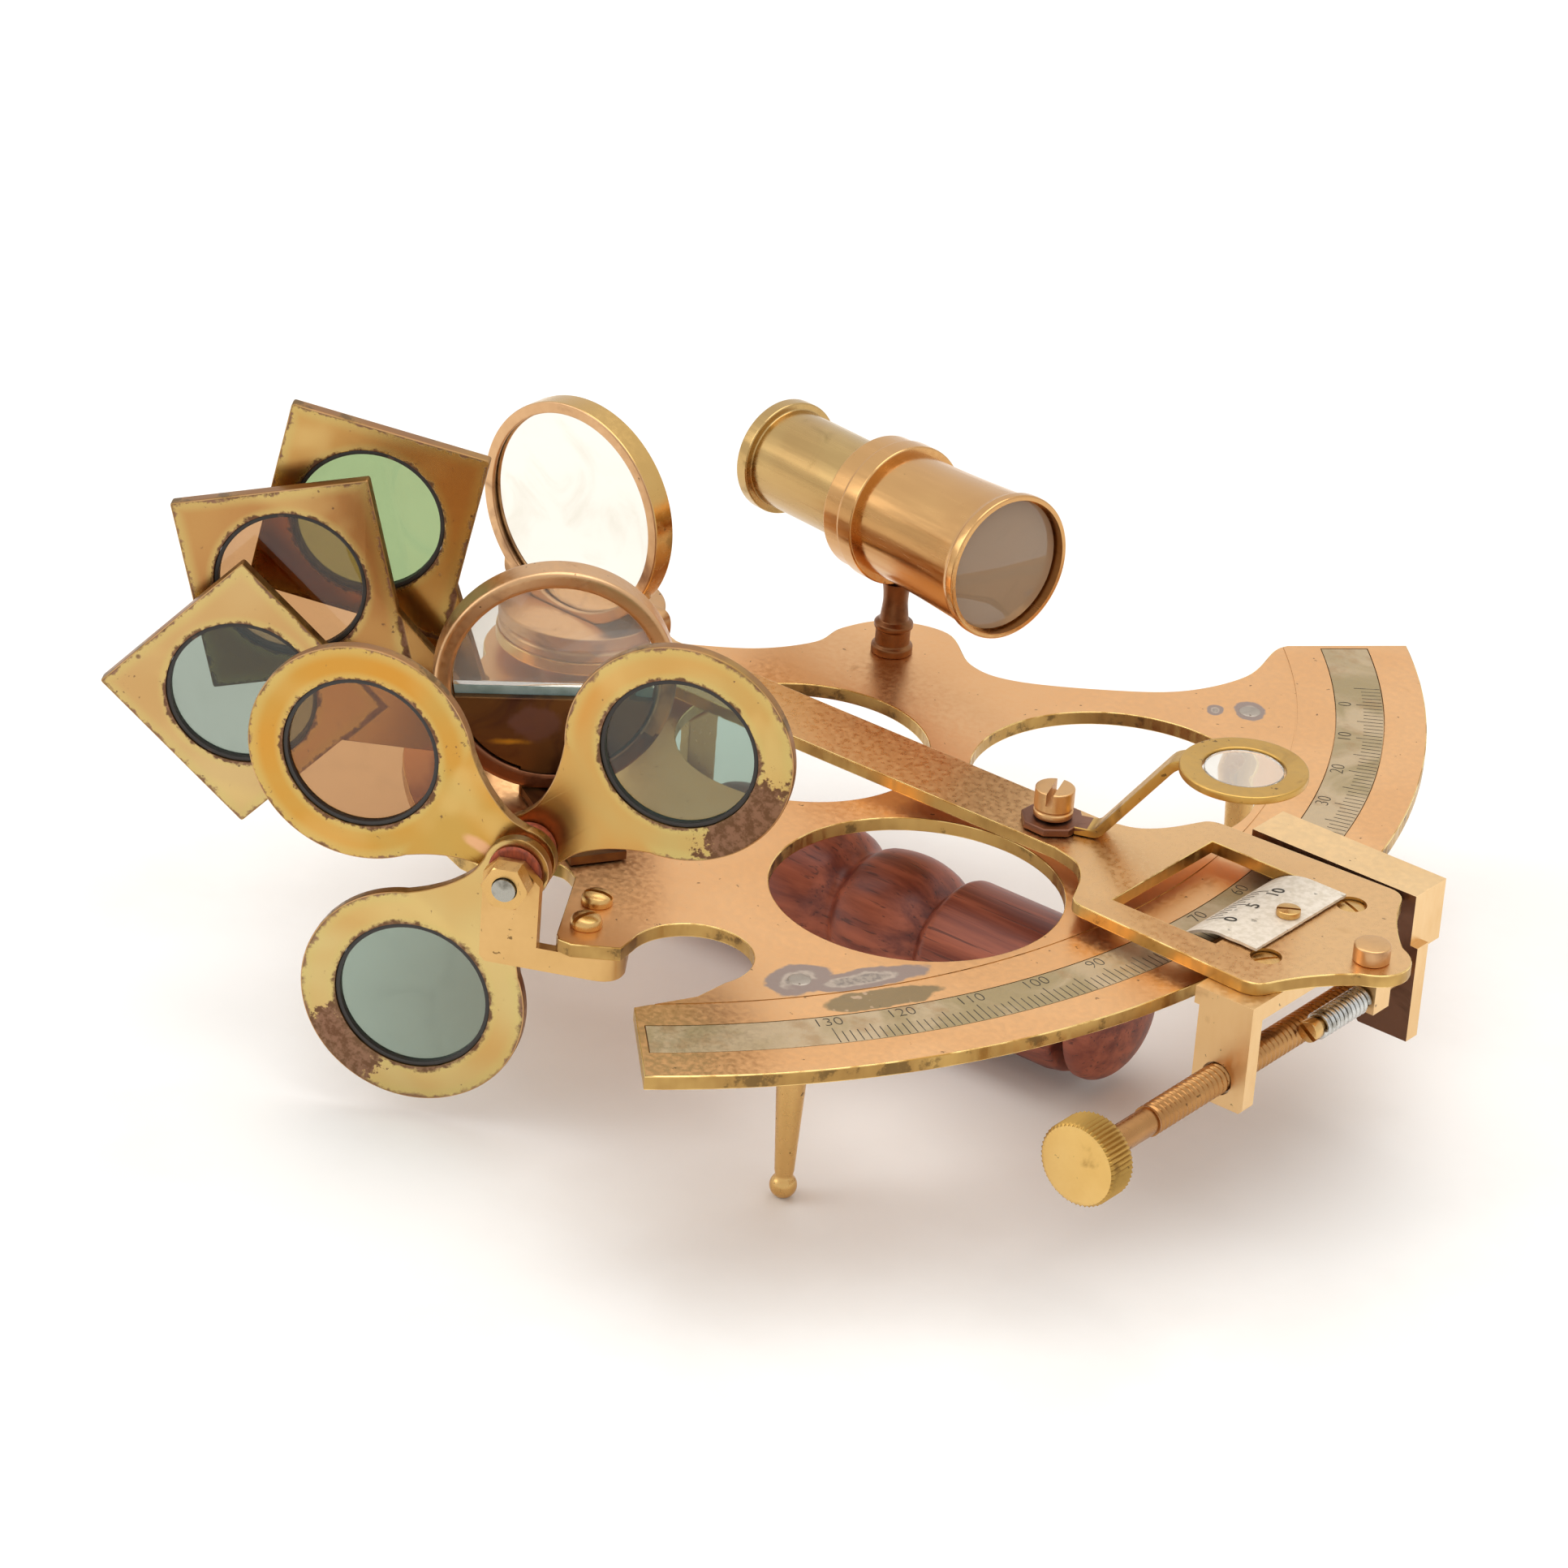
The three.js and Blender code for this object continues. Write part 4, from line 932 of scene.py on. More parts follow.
def make_handle():
    """The wooden grip, two bulbs and a long swell between grooves, its domed end and its rod."""
    big, bore, length = 12.6, 2.4, 85.7
    swell = through([(8.2, 0.6), (11.4, 3.6), (big, 9), (11.7, 14), (9.9, 17.6), (11.7, 21), (big, 26.5),
                     (11.8, 32.3), (9.6, 36), (11.8, 39.6), (big, 45.5), (11.6, 51), (9.3, 54.8)], 5)
    barrel = soften([(9.3, 54.8), (big, 57.6), (big, 82.5), (12, length), (bore, length)], 0.9, False)
    profile = [(bore, 0), (7.6, 0), (8.2, 0.6), *swell, *barrel]
    turn = spin(90, "Y")
    add("handle_wood", turned(profile, 96, True), WOOD, "handle_grip",
        group(29, 0, HANDLE_Z) @ turn)
    rim, straight, rise, depth = 11.8, 1.2, 5.7, 4.0
    dome = [(rim * x, straight + rise * y) for x, y in arc(0, 0, 1, 0, 85, 5)]
    shell = [(0, depth), (bore, depth), (bore, 0), (rim - 0.5, 0), (rim, 0.5), *dome, (0, straight + rise)]
    add("handle_dome", turned(shell, 96), WOOD, "handle_cap",
        group(HANDLE_CAP, 0, HANDLE_Z) @ turn)
    rod_end = [(0, 24.6), (3.6, 24.6), (3.6, 26.6), (2, 26.6), (2, 121), (0, 121)]
    place = group(0, 0, HANDLE_Z) @ turn
    add("handle_rod_turned", lathe(rod_end, 0.5), PLAIN, "handle_rod", place)


def make_handle_bracket(name, foot_start, leg_end):
    """A strip bent at a right angle: a foot under the limb, and a leg down to the grip."""
    leg_low = HANDLE_Z - 5
    shape = [(foot_start, PLATE_BOTTOM), (foot_start, PLATE_BOTTOM - 2), (leg_end - 2, PLATE_BOTTOM - 2),
             (leg_end - 2, leg_low), (leg_end, leg_low), (leg_end, PLATE_BOTTOM)]
    strip = upright([soften(shape, 1.0)], -4, 4, 0.3)
    tab = arc(foot_start + 4, 0, 4, 90, 270, 6) + [(leg_end + 1, -4), (leg_end + 1, 4)]
    rounded = plate([tab], leg_low - 1, PLATE_BOTTOM + 1, 0)
    strip = combined("INTERSECT", strip, [rounded])
    hole = moved(rod(2.3, -5, 5), leg_end - 1, 0, HANDLE_Z, spin(90, "Y"))
    add(name + "_strip", cut(strip, hole), PLAIN, name)


# ---- Telescope ----


def make_telescope():
    top = PLATE_TOP
    rings = [(0, 35.5), (4, 35.5), (4, PLATE_BOTTOM), (2, PLATE_BOTTOM), (2, top), (3.7, top),
             (3.7, top + 1.4), (3.1, top + 1.8), (3.1, top + 4.6), (3.5, top + 5), (3.5, top + 5.8),
             (2.6, top + 6.4)]
    neck = through([rings[-1], (2.25, top + 9.5), (2.3, top + 11.6), (2.6, 54.8)], 6)
    profile = soften([*rings, *neck, (0, 54.8)], 0.25, False)
    add("telescope_post_turned", turned(profile), DARK, "telescope_post",
        group(*TELESCOPE_POST, 0))
    outside = soften([(12.2, 0), (13.12, 0), (13.12, 1.8), (12.5, 2.5)], 0.35, False)
    barrel = through([(12.5, 2.5), (12.2, 7), (11.8, 14), (11.5, 21), (11.4, 27.9)], 4)
    collar = soften([(11.4, 27.9), (12.8, 27.9), (12.8, 31.5), (12.3, 31.9), (12.3, 36), (9.4, 36),
                     (9.4, 24), (10.2, 22), (10.8, 3.2), (12.2, 3.2)], 0.35, False)
    add("telescope_barrel", turned(outside + barrel + collar[1:], 128, True), TUBE, "telescope_tube",
        TELESCOPE, "telescope")
    objective = [(0, 0.9), (4, 1.02), (8, 1.3), (11.6, 1.7), (11.85, 1.9), (11.85, 2.6), (11.6, 2.8),
                 (0, 2.8)]
    add("objective_glass", turned(objective, 96), OBJECTIVE, "objective_lens", TELESCOPE,
        "telescope")
    draw = soften([(9.1, 24.5), (9.1, 60), (10.43, 60), (10.43, 62.6), (6.7, 62.6), (6.7, 60.6), (5.6, 60),
                   (8.3, 58.8), (8.3, 24.5)], 0.3)
    add("draw_tube_turned", turned(draw, 128, True), DRAW, "draw_tube", TELESCOPE, "draw")
    eyepiece = [(0, 60.95), (6.2, 60.95), (6.35, 61.1), (6.35, 61.8), (3, 62.0), (0, 62.1)]
    add("eyepiece_glass", turned(eyepiece), OBJECTIVE, "eyepiece_lens", TELESCOPE, "draw")


# ---- Index arm ----


def arm_outline():
    half = arc(0, 0, 15, 180, math.degrees(math.asin(7 / 15)))
    half.append((109, 7))
    half += through([(109, 7), (114.5, 8.6), (118.3, 12.5), (121.3, 18.5)], 6)
    half += bezier((121.3, 18.5), (122, 20.2), (124.5, 20.4), 5)
    half.append((157.5, 22))
    half += bezier((157.5, 22), (160.2, 22), (161.4, 19.5), 6)
    half += bezier((161.4, 19.5), (164.5, 12), (170.5, 6.2), 10)
    half += bezier((170.5, 6.2), (175.2, 4), (175.2, 0), 8)
    return mirrored(half)


def make_arm():
    window = [(126.8, -14.8), (147.5, -14.8), (147.5, 13.9), (126.8, 13.9)]
    body = plate([arm_outline(), window], ARM_BOTTOM, ARM_TOP, 0.22)
    sink = [(0, -5), (1.6, -5), (1.6, -0.9), (2.6, -0.9), (2.7, 1), (0, 1)]
    sinks = [moved(turned(sink, 48), x, y, ARM_TOP) for x, y in ARM_SCREWS.values()]
    bore = rod(3.1, ARM_BOTTOM - 1, ARM_TOP + 1)
    arm = add("index_arm_plate", cut(body, bore, *sinks), [ARM, CLEAN_EDGE, BRIGHT], "index_arm",
              body="arm")
    paint_edges(arm)
    stud = [(0, ARM_TOP), (3.1, ARM_TOP), (3.1, ARM_TOP + 3), (0, ARM_TOP + 3)]
    stud = add("finger_stud", lathe(stud, 0.35), [PLAIN, COPPERY], "arm_stud",
               group(*ARM_STUD, 0), "arm")
    paint_edges(stud, 0)


def slotted(profile, slot_width, slot_depth, turn):
    """A turned screw with a driver slot across its head."""
    top = max(height for _, height in profile)
    reach = max(radius for radius, _ in profile) + 1
    slot = brick(-reach, reach, -slot_width / 2, slot_width / 2, top - slot_depth, top + 1)
    return cut(turned(profile, 48), moved(slot, turn=spin(turn)))


def make_screws():
    for (name, (x, y)), turn in zip(ARM_SCREWS.items(), (58, -22)):
        z = ARM_TOP - 0.45
        head = [(0, z - 4.9), (1.3, z - 4.9), (1.3, z - 0.4), (2.3, z - 0.35), (2.3, z - 0.1), (1.6, z),
                (0, z + 0.08)]
        add(name + "_slotted", slotted(head, 0.6, 0.4, turn), YELLOW, name, group(x, y, 0),
            "arm")
    low = ARM_TOP + 0.8
    cheese = [(0, ARM_BOTTOM + 0.2), (1.1, ARM_BOTTOM + 0.2), (1.1, low), (2.05, low), (2.05, low + 1.15),
              (0, low + 1.2)]
    add("vernier_screw_slotted", slotted(soften(cheese, 0.2, False), 0.55, 0.75, 35), YELLOW,
        "vernier_screw", group(*VERNIER_SCREW, 0), "arm")
    for index, ((x, y), turn) in enumerate(zip(BRACKET_SCREWS, (20, 75)), 1):
        dome = through([(2.65, PLATE_TOP + 0.9), (2.3, PLATE_TOP + 1.6), (1.2, PLATE_TOP + 2.05),
                        (0.01, PLATE_TOP + 2.15)], 4)
        head = [(0, PLATE_BOTTOM - 3.6), (1.4, PLATE_BOTTOM - 3.6), (1.4, PLATE_TOP), (2.55, PLATE_TOP),
                (2.65, PLATE_TOP + 0.1), (2.65, PLATE_TOP + 0.9), *dome[:-1], (0, PLATE_TOP + 2.15)]
        add(f"bracket_screw_{index}_slotted", slotted(head, 0.8, 1.1, turn), YELLOW,
            f"bracket_screw_{index}", group(x, y, 0))


VERNIER_TIP, VERNIER_BEND, VERNIER_END = 138.8, 148.0, 154.2


def vernier_height(x):
    """The top of the vernier's sheet: flat on the arm, then bent down through the window to the scale."""
    flat = ARM_TOP + 0.8
    tip = PLATE_TOP + 1.7
    bend = min(1.0, max(0.0, (VERNIER_BEND - x) / (VERNIER_BEND - VERNIER_TIP)))
    return flat + (tip - flat) * bend ** 2.4


def make_vernier():
    """The sheet with its worn edges, and its marks and numbers."""
    ragged = random.Random(7)
    rows = []
    lengths = [VERNIER_TIP + (VERNIER_END - VERNIER_TIP) * i / 36 for i in range(37)]
    steps = [i / 44 for i in range(45)]
    noise = [ragged.uniform(-0.05, 0.05) for _ in steps]
    back = 13.5
    for x in lengths:
        front = -12.7 + 0.06 * math.sin(x * 1.3)
        worn = max(0.0, (x - 152.6) / 1.6)
        width = back - front
        rows.append([(x + shift * worn, front + width * step, vernier_height(x))
                     for step, shift in zip(steps, noise)])
    add("vernier_sheet", grid_sheet(rows, 0.5), VERNIER, "vernier_scale", body="arm")
    marks = []
    spacing = 1.3
    zero = -7.2
    for count in range(11):
        y = zero + spacing * count
        length = 3.3 if count % 5 == 0 else 2.3
        points = [VERNIER_TIP + 1.7 + length * i / 6 for i in range(7)]
        ribbon = [[(x, y + side, vernier_height(x) + 0.05) for side in (-0.1, 0.1)] for x in points]
        marks.append(grid_sheet(ribbon, 0.03))
    for count in (0, 5, 10):
        digits = numeral(str(count), 3.4, 0.0)
        place = Matrix.Translation(Vector((145.3, zero + spacing * count, 0)) * MM)
        digits.transform(place @ spin(90))
        for vertex in digits.vertices:
            vertex.co.z += (vernier_height(vertex.co.x / MM) + 0.07) * MM
        marks.append(digits)
    add("vernier_marks", merged(marks), MARKS, body="arm")


# ---- Tangent screw and clamp ----


def make_nut_bracket():
    """The ear that the tangent screw threads through, its plate under the arm, and the spring's tang."""
    low = ARM_BOTTOM - 3.2
    outline = [(152.2, 23.5), (161.9, 23.5), (162.6, 24.2), (162.6, low + 1), (152.2, low + 1)]
    ear = upright([soften(outline, 0.2)], -25.1, -22, 0)
    tang = brick(160, 164.2, 10, 14.6, PIN_Z - 2.3, ARM_BOTTOM)
    body = fused(brick(151.2, 162.6, -25.1, 16, low, ARM_BOTTOM), ear, tang)
    holes = [moved(rod(2.95, -3, 3, edge=0), SCREW_X, -23.5, SCREW_Z, ALONG_Y),
             moved(rod(1.75, -5, 5, edge=0), PIN_X, 12, PIN_Z, ALONG_Y)]
    holes += [moved(rod(1.6, low - 1, ARM_BOTTOM + 1, edge=0), x, y) for x, y in ARM_SCREWS.values()]
    add("nut_bracket_block", eased(cut(body, *holes), 0.3), CLEAN, "nut_bracket", body="arm")


def threaded(radius, depth, pitch, low, high, around=40, per_turn=8):
    """A screw thread as one surface: the radius follows the helix, and fades out at both ends."""
    rows = int((high - low) / pitch * per_turn)
    profile = [(radius, low + (high - low) * row / rows) for row in range(rows + 1)]

    def groove(r, h, angle):
        phase = (h / pitch - angle / (2 * math.pi)) % 1
        fade = min(1, (h - low) / pitch, (high - h) / pitch)
        ridge = 1 - abs(2 * phase - 1)
        return r - depth * fade * (1 - min(1, 1.35 * ridge))

    return turned([(0, low)] + profile + [(0, high)], around, reshape=groove)


KNOB_FLOOR = -62.0


def make_tangent_screw():
    place = group(SCREW_X, 0, SCREW_Z) @ ALONG_Y
    thread = threaded(2.65, 0.5, 1.25, -44.5, CLAMP_Y - GAP)
    shank = fused(rod(2.0, KNOB_FLOOR + 0.1, -50.2, 64, 0.3), rod(2.35, -57.4, -44, 64, 0.3))
    add("tangent_screw_thread", fused(thread, shank), SCREW_BRASS, "tangent_screw", place,
        "screw")


def knurled(radius, low, high, teeth, depth, bore=0.0, floor=0.0):
    """A knob with a toothed rim and chamfered faces, and a blind bore from its high face down to floor."""
    def tooth(r, h, angle):
        if r < radius - 0.3:
            return r
        wave = abs(((angle * teeth / (2 * math.pi)) % 1) * 2 - 1)
        return r - depth * wave

    slope = 0.5
    profile = [(0, low), (radius - 1.1, low), (radius - 0.5, low + 0.12), (radius, low + slope),
               (radius, (low + high) / 2), (radius, high - slope), (radius - 0.5, high - 0.12),
               (radius - 1.1, high)]
    profile += [(bore, high), (bore, floor), (0, floor)] if bore else [(0, high)]
    return turned(profile, teeth * 6, reshape=tooth)


def make_knobs():
    place = group(SCREW_X, 0, SCREW_Z) @ ALONG_Y
    knob = add("tangent_knob_knurled", knurled(7.3, -64, -58, 52, 0.42, 2.05, KNOB_FLOOR), [KNOB, KNOB_RIM],
               "tangent_knob", place, "knob")
    paint_edges(knob, 1)
    x, y = CLAMP_SCREW
    stem = rod(2, 26.2, PLATE_BOTTOM - 0.1, 48, 0.3)
    add("clamp_screw_knurled", fused(knurled(6, 22, 26.5, 44, 0.35), stem), YELLOW, "clamp_screw",
        group(x, y, 0), "clamp_screw")


def make_clamp():
    """The block that grips the limb, with a thin ear for the tangent screw's end."""
    y0, y1 = CLAMP_Y, CLAMP_Y + 9.1
    jaw = PLATE_TOP - 6.7
    section = [(129, PLATE_TOP + GAP), (151, PLATE_TOP + GAP), (151, PLATE_BOTTOM - GAP),
               (134, PLATE_BOTTOM - GAP), (134, jaw), (162.3, jaw), (162.3, ARM_TOP), (129, ARM_TOP)]
    body = upright([section], y0, y1, 0.0)
    ear = upright([[(151.5, jaw + 2), (151.5, 21.2), (154.0, 18.4), (163.8, 18.4), (163.8, jaw + 2)]], y0,
                  y0 + 3.3, 0.0)
    body = fused(body, ear)
    holes = [moved(rod(1.5, -6, 6, edge=0), PIN_X, y0 + 1, PIN_Z, ALONG_Y),
             moved(rod(2.3, jaw - 1, PLATE_BOTTOM, edge=0), *CLAMP_SCREW)]
    block = add("clamp_block_filed", eased(cut(body, *holes), 0.3), [CLEAN, CLAMP_PAINTED_SHADE], "clamp_block",
                body="clamp")
    # The faces that look towards -Y take the dark brown: painted shade and a painted dark reflection on the
    # front face.
    paint(block, lambda face: face.normal.y < -0.7)


def make_spring():
    """The pin through the tang, and the close coils between its slotted head and the tang."""
    place = group(PIN_X, 0, PIN_Z) @ ALONG_Y
    pin = [(0, -6), (1.95, -6), (1.95, -3.9), (1.4, -3.9), (1.4, CLAMP_Y + 3.3), (0, CLAMP_Y + 3.3)]
    body = lathe(pin, 0.3, 48)
    slot = moved(brick(-3, 3, -0.4, 0.4, -7, -4.7), turn=spin(35))
    add("spring_pin_slotted", cut(body, slot), YELLOW, "spring_pin", place, "clamp")
    curve = bpy.data.curves.new("coil", "CURVE")
    curve.dimensions = "3D"
    curve.bevel_depth = 0.46
    curve.bevel_resolution = 3
    curve.use_fill_caps = True
    turns, low, high = 11, -3.4, 9.4
    spline = curve.splines.new("POLY")
    count = turns * 28
    spline.points.add(count)
    for i, point in enumerate(spline.points):
        angle = 2 * math.pi * turns * i / count
        point.co = (1.9 * math.cos(angle), 1.9 * math.sin(angle), low + (high - low) * i / count, 1)
    mesh = baked(linked("coil", curve))
    mesh.transform(place @ Matrix.Scale(MM, 4))
    coil = add("tangent_spring_coil", tidy(mesh), SPRING, "tangent_spring", body=None)
    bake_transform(coil)


# ---- Index mirror ----


def make_index_mirror():
    base = lathe([(0, ARM_TOP), (14.7, ARM_TOP), (14.7, ARM_TOP + 1.3), (14.4, ARM_TOP + 1.6),
                  (14.4, ARM_TOP + 2.0), (14.7, ARM_TOP + 2.3), (14.7, PLATE_TOP + 9.2),
                  (0, PLATE_TOP + 9.2)], 0.3, 128)
    top = PLATE_TOP + 13.2
    outline = [(-18.8, PLATE_TOP + 7.2), (18.8, PLATE_TOP + 7.2), (18.8, top), (-18.8, top)]
    back = upright([soften(outline, 3.6, steps=8)], 0, 2.2, 0.3)
    space = moved(rod(20.4, -5.3, -0.35, 128, 0), 0, 0, MIRROR_Z, ALONG_Y)
    add("mirror_base_turned", fused(cut(base, space), back), CAST, "mirror_base", INDEX_MIRROR,
        "arm")
    place = INDEX_MIRROR @ group(0, 0, MIRROR_Z) @ ALONG_Y
    ring = [(18.0, -5), (20.1, -5), (20.1, -0.5), (18.9, -0.5), (18.9, -4.2), (18.0, -4.2)]
    rim = add("mirror_ring_turned", hoop(ring, 0.35, 160), [RING, COPPERY], "mirror_ring",
              place, "arm")
    paint(rim, lambda face: face.center.xy.length < 19.2 * MM or face.normal.z < -0.4)
    add("index_mirror_glass", lathe([(0, -3.9), (18.6, -3.9), (18.6, -0.9), (0, -0.9)], 0.2, 128), MIRROR,
        "index_mirror", place, "arm")


# ---- Horizon glass ----

HORIZON_DEPTH, HORIZON_INNER, HORIZON_OUTER = 5.5, 17.4, 20.45
BACKING_TOP = -3.4
SILVER_TOP = -2.1


def disc_part(level, part):
    """The part of the horizon glass's disc "below" or "above" a level."""
    radius = HORIZON_INNER - GAP
    start = math.degrees(math.asin(level / radius))
    if part == "below":
        return arc(0, 0, radius, 180 - start, 360 + start, 2)
    return arc(0, 0, radius, start, 180 - start, 2)


def make_horizon():
    ring = hoop([(HORIZON_INNER, 0), (HORIZON_OUTER, 0), (HORIZON_OUTER, HORIZON_DEPTH),
                 (HORIZON_INNER, HORIZON_DEPTH)], 0.9, 160, steps=5)
    ring.transform(ALONG_Y)
    foot_low = PLATE_TOP + GAP - HORIZON_Z
    notch = brick(-5.4, 5.4, 0.3, 2.6, -HORIZON_OUTER - 1, -HORIZON_INNER + 2)
    flat = brick(-12, 12, -1, HORIZON_DEPTH + 1, -HORIZON_OUTER - 1, foot_low + 1.8)
    ring = add("horizon_ring_turned", cut(ring, notch, flat), [COPPERY, RING_TARNISH_AND_SHADE], "horizon_ring",
               HORIZON)
    # The faces more than 9 mm below the ring's middle take the dark brown: tarnish and painted shade.
    paint(ring, lambda face: face.center.z < -9 * MM)
    disc = upright([disc_part(BACKING_TOP, "below")], 0.6, 2.3, 0.2)
    neck = brick(-5, 5, 0.6, 2.3, foot_low, -HORIZON_INNER + 2)
    foot = moved(brick(-4.9, 4.9, -23.6, 2.3, foot_low, foot_low + 1.5), 0.6, turn=spin(16.3))
    add("horizon_backing_plate", fused(disc, neck, foot), BACKING, "horizon_backing", HORIZON)


def make_horizon_glass():
    """One glass: silvered from its foot to just above the backing, and clear but dusty above that."""
    silvered_half = upright([disc_part(SILVER_TOP, "below")], 2.6, 5.1, 0.1)
    lower = add("horizon_mirror", silvered_half, [SILVER_BACK, MIRROR], "horizon_glass", HORIZON)
    paint(lower, lambda face: face.normal.y > 0.2)
    clear_half = upright([disc_part(SILVER_TOP + 0.05, "above")], 2.6, 5.1, 0.1)
    add("horizon_clear_glass", clear_half, DUSTY, "horizon_glass", HORIZON)


# ---- Horizon shades ----

SHADE_ARM, SHADE_OUTER, SHADE_APERTURE, SHADE_THICK = 31.69, 19.29, 13.29, 2.0
SQUARE_X, SQUARE_Z, SQUARE_HALF = 27.96, 23.5, 17.32
POST_FACE = 6.2
HORIZON_SHADES = [
    {"angle": 238.5, "front": 7.61, "tint": "9fb4a8", "slot": "grey_glass",
     "base": "cfb87c", "second": "caa262", "rust": 0.8, "seed": 0.31, "worn": (225, 8), "bare": False},
    {"angle": 153.4, "front": 11.33, "tint": "b98b5c", "slot": "amber_glass",
     "base": "ca913e", "second": "b9a05a", "rust": 0.3, "seed": 0.52, "worn": None, "bare": True},
    {"angle": 41.8, "front": 17.08, "tint": "9bb0a4", "slot": "grey_glass",
     "base": "cb9650", "second": "c0a768", "rust": 0.5, "seed": 0.77, "worn": (-40, 9), "bare": False},
]
INDEX_SHADES_AT = [
    {"angle": 136.8, "front": 0.0, "tint": "939f94", "slot": "grey_glass",
     "base": "ceb07a", "second": "c39c66", "rust": 0.4, "seed": 0.13, "worn": None, "bare": False},
    {"angle": 104.3, "front": 4.6, "tint": "c09468", "slot": "amber_glass",
     "base": "b07e4c", "second": "b98c54", "rust": 0.4, "seed": 0.44, "worn": None, "bare": False},
    {"angle": 79.2, "front": 10.42, "tint": "9cb284", "slot": "green_glass",
     "base": "be9052", "second": "c69e5c", "rust": 0.3, "seed": 0.66, "worn": None, "bare": False},
]


def shade_outline():
    """A ring that flows into a narrowing arm and a round lug at the bolt."""
    ring_start = 143.0
    ring = arc(SHADE_ARM, 0, SHADE_OUTER, -ring_start, ring_start, 2.5)
    join = ring[-1]
    upper = through([ring[-2], join, (13.2, 9.1), (9.6, 6.9), (5.4, 5.35), (2.0, 5.25)], 6)[6:]
    hub = arc(0, 0, 5.6, 70, 290, 5)
    lower = [(x, -y) for x, y in reversed(upper)]
    return ring + upper + hub + lower


def make_shade(prefix, number, shade, place, outline, centre, aperture, thick, square):
    """A frame, its tinted glass and the black seat round the glass."""
    node = f"{prefix}_{number}"
    place = place @ Matrix.Translation((0, shade["front"] * MM, 0))
    place = place @ spin(-shade["angle"], "Y")
    x, z = centre
    wide = SQUARE_HALF - 0.02 if square else SHADE_OUTER
    face = shade_brass(f"{prefix}_brass_{number}", (x, 0, z), aperture, wide, square, shade)
    body = upright([outline, circle(x, z, aperture), circle(0, 0, 2.3, 48)], 0, thick, 0.22)
    piece = add(f"{node}_plate", body, [face, RIM, BRIGHT_RIM], node, place, node)
    for polygon in piece.data.polygons:
        middle = polygon.center
        from_centre = math.hypot(middle.x - x * MM, middle.z - z * MM)
        if abs(polygon.normal.y) < 0.5:
            polygon.material_index = 1
        elif abs(polygon.normal.y) < 0.95 and from_centre > (aperture + 1) * MM:
            polygon.material_index = 2
    seat = upright([circle(x, z, aperture - 0.04), circle(x, z, aperture - 0.75)], 0.35, thick - 0.05, 0.08)
    add(f"{prefix}_seat_{number}", seat, BLACK, place=place, body=node)
    pane = upright([circle(x, z, aperture - 0.6)], thick - 0.9, thick - 0.25, 0.08)
    tint = glass(f"{prefix}_tint_{number}", shade["tint"])
    add(f"{prefix}_pane_{number}", pane, tint, f"{prefix}_glass_{number}", place, node)


def make_horizon_shades():
    outline = shade_outline()
    for number, shade in enumerate(HORIZON_SHADES, 1):
        make_shade("horizon_shade", number, shade, SHADES, outline, (SHADE_ARM, 0), SHADE_APERTURE,
                   SHADE_THICK, False)


def square_outline():
    """A square plate with a rounded lug at one corner for its bolt."""
    x, z, half = SQUARE_X, SQUARE_Z, SQUARE_HALF
    square = [(x - half + 10, z - half), (x + half, z - half), (x + half, z + half), (x - half, z + half),
              (x - half, z - half + 10)]
    softened = [square[0], *soften([square[0], *square[1:4], square[4]], 0.5, False)[1:-1], square[4]]
    return arc(0, 0, 4.8, 150, 285, 5) + softened


def make_index_shades():
    for number, shade in enumerate(INDEX_SHADES_AT, 1):
        make_shade("index_shade", number, shade, INDEX_SHADES, square_outline(), (SQUARE_X, SQUARE_Z), 13.09,
                   2.2, True)
    front, back = 12.92, 14.92
    low = PLATE_TOP + GAP - INDEX_SHADES_Z
    ear = arc(0, 0, 5, 0, 180, 5) + [(-5, low), (5, low)]
    upright_part = upright([ear], front, back, 0)
    body = fused(upright_part, brick(-5, 5, front, 23, low, low + 2))
    hole = moved(rod(2.1, front - 1, back + 1, edge=0), turn=ALONG_Y)
    add("index_shade_bracket_bent", eased(cut(body, hole), 0.3), PLAIN, "index_shade_bracket",
        INDEX_SHADES)
    place = INDEX_SHADES @ ALONG_Y
    shank = rod(1.8, -1, back + 0.5, 48, 0.1)
    head = slotted(soften([(0, 0.3), (2.6, 0.3), (2.6, 1.2), (0, 1.2)], 0.25, False), 0.5, 0.5, 30)
    head.transform(spin(180, "X"))
    nut = hex_nut(3.2, back + GAP, back + 2.6)
    add("index_shade_bolt_hex", fused(shank, head, nut), YELLOW, "index_shade_bolt", place)


def hex_nut(radius, low, high, bore=None):
    """A hexagon with the corners of both faces turned off."""
    prism = turned([(0, low), (radius, low), (radius, high), (0, high)], 6)
    reach = radius * 1.02
    turned_off = turned([(0, low - 0.1), (reach * 0.9, low - 0.1), (reach, low + 0.35), (reach, high - 0.35),
                         (reach * 0.9, high + 0.1), (0, high + 0.1)], 64)
    nut = combined("INTERSECT", prism, [turned_off], 25)
    return cut(nut, rod(bore, low - 1, high + 1, edge=0)) if bore else nut


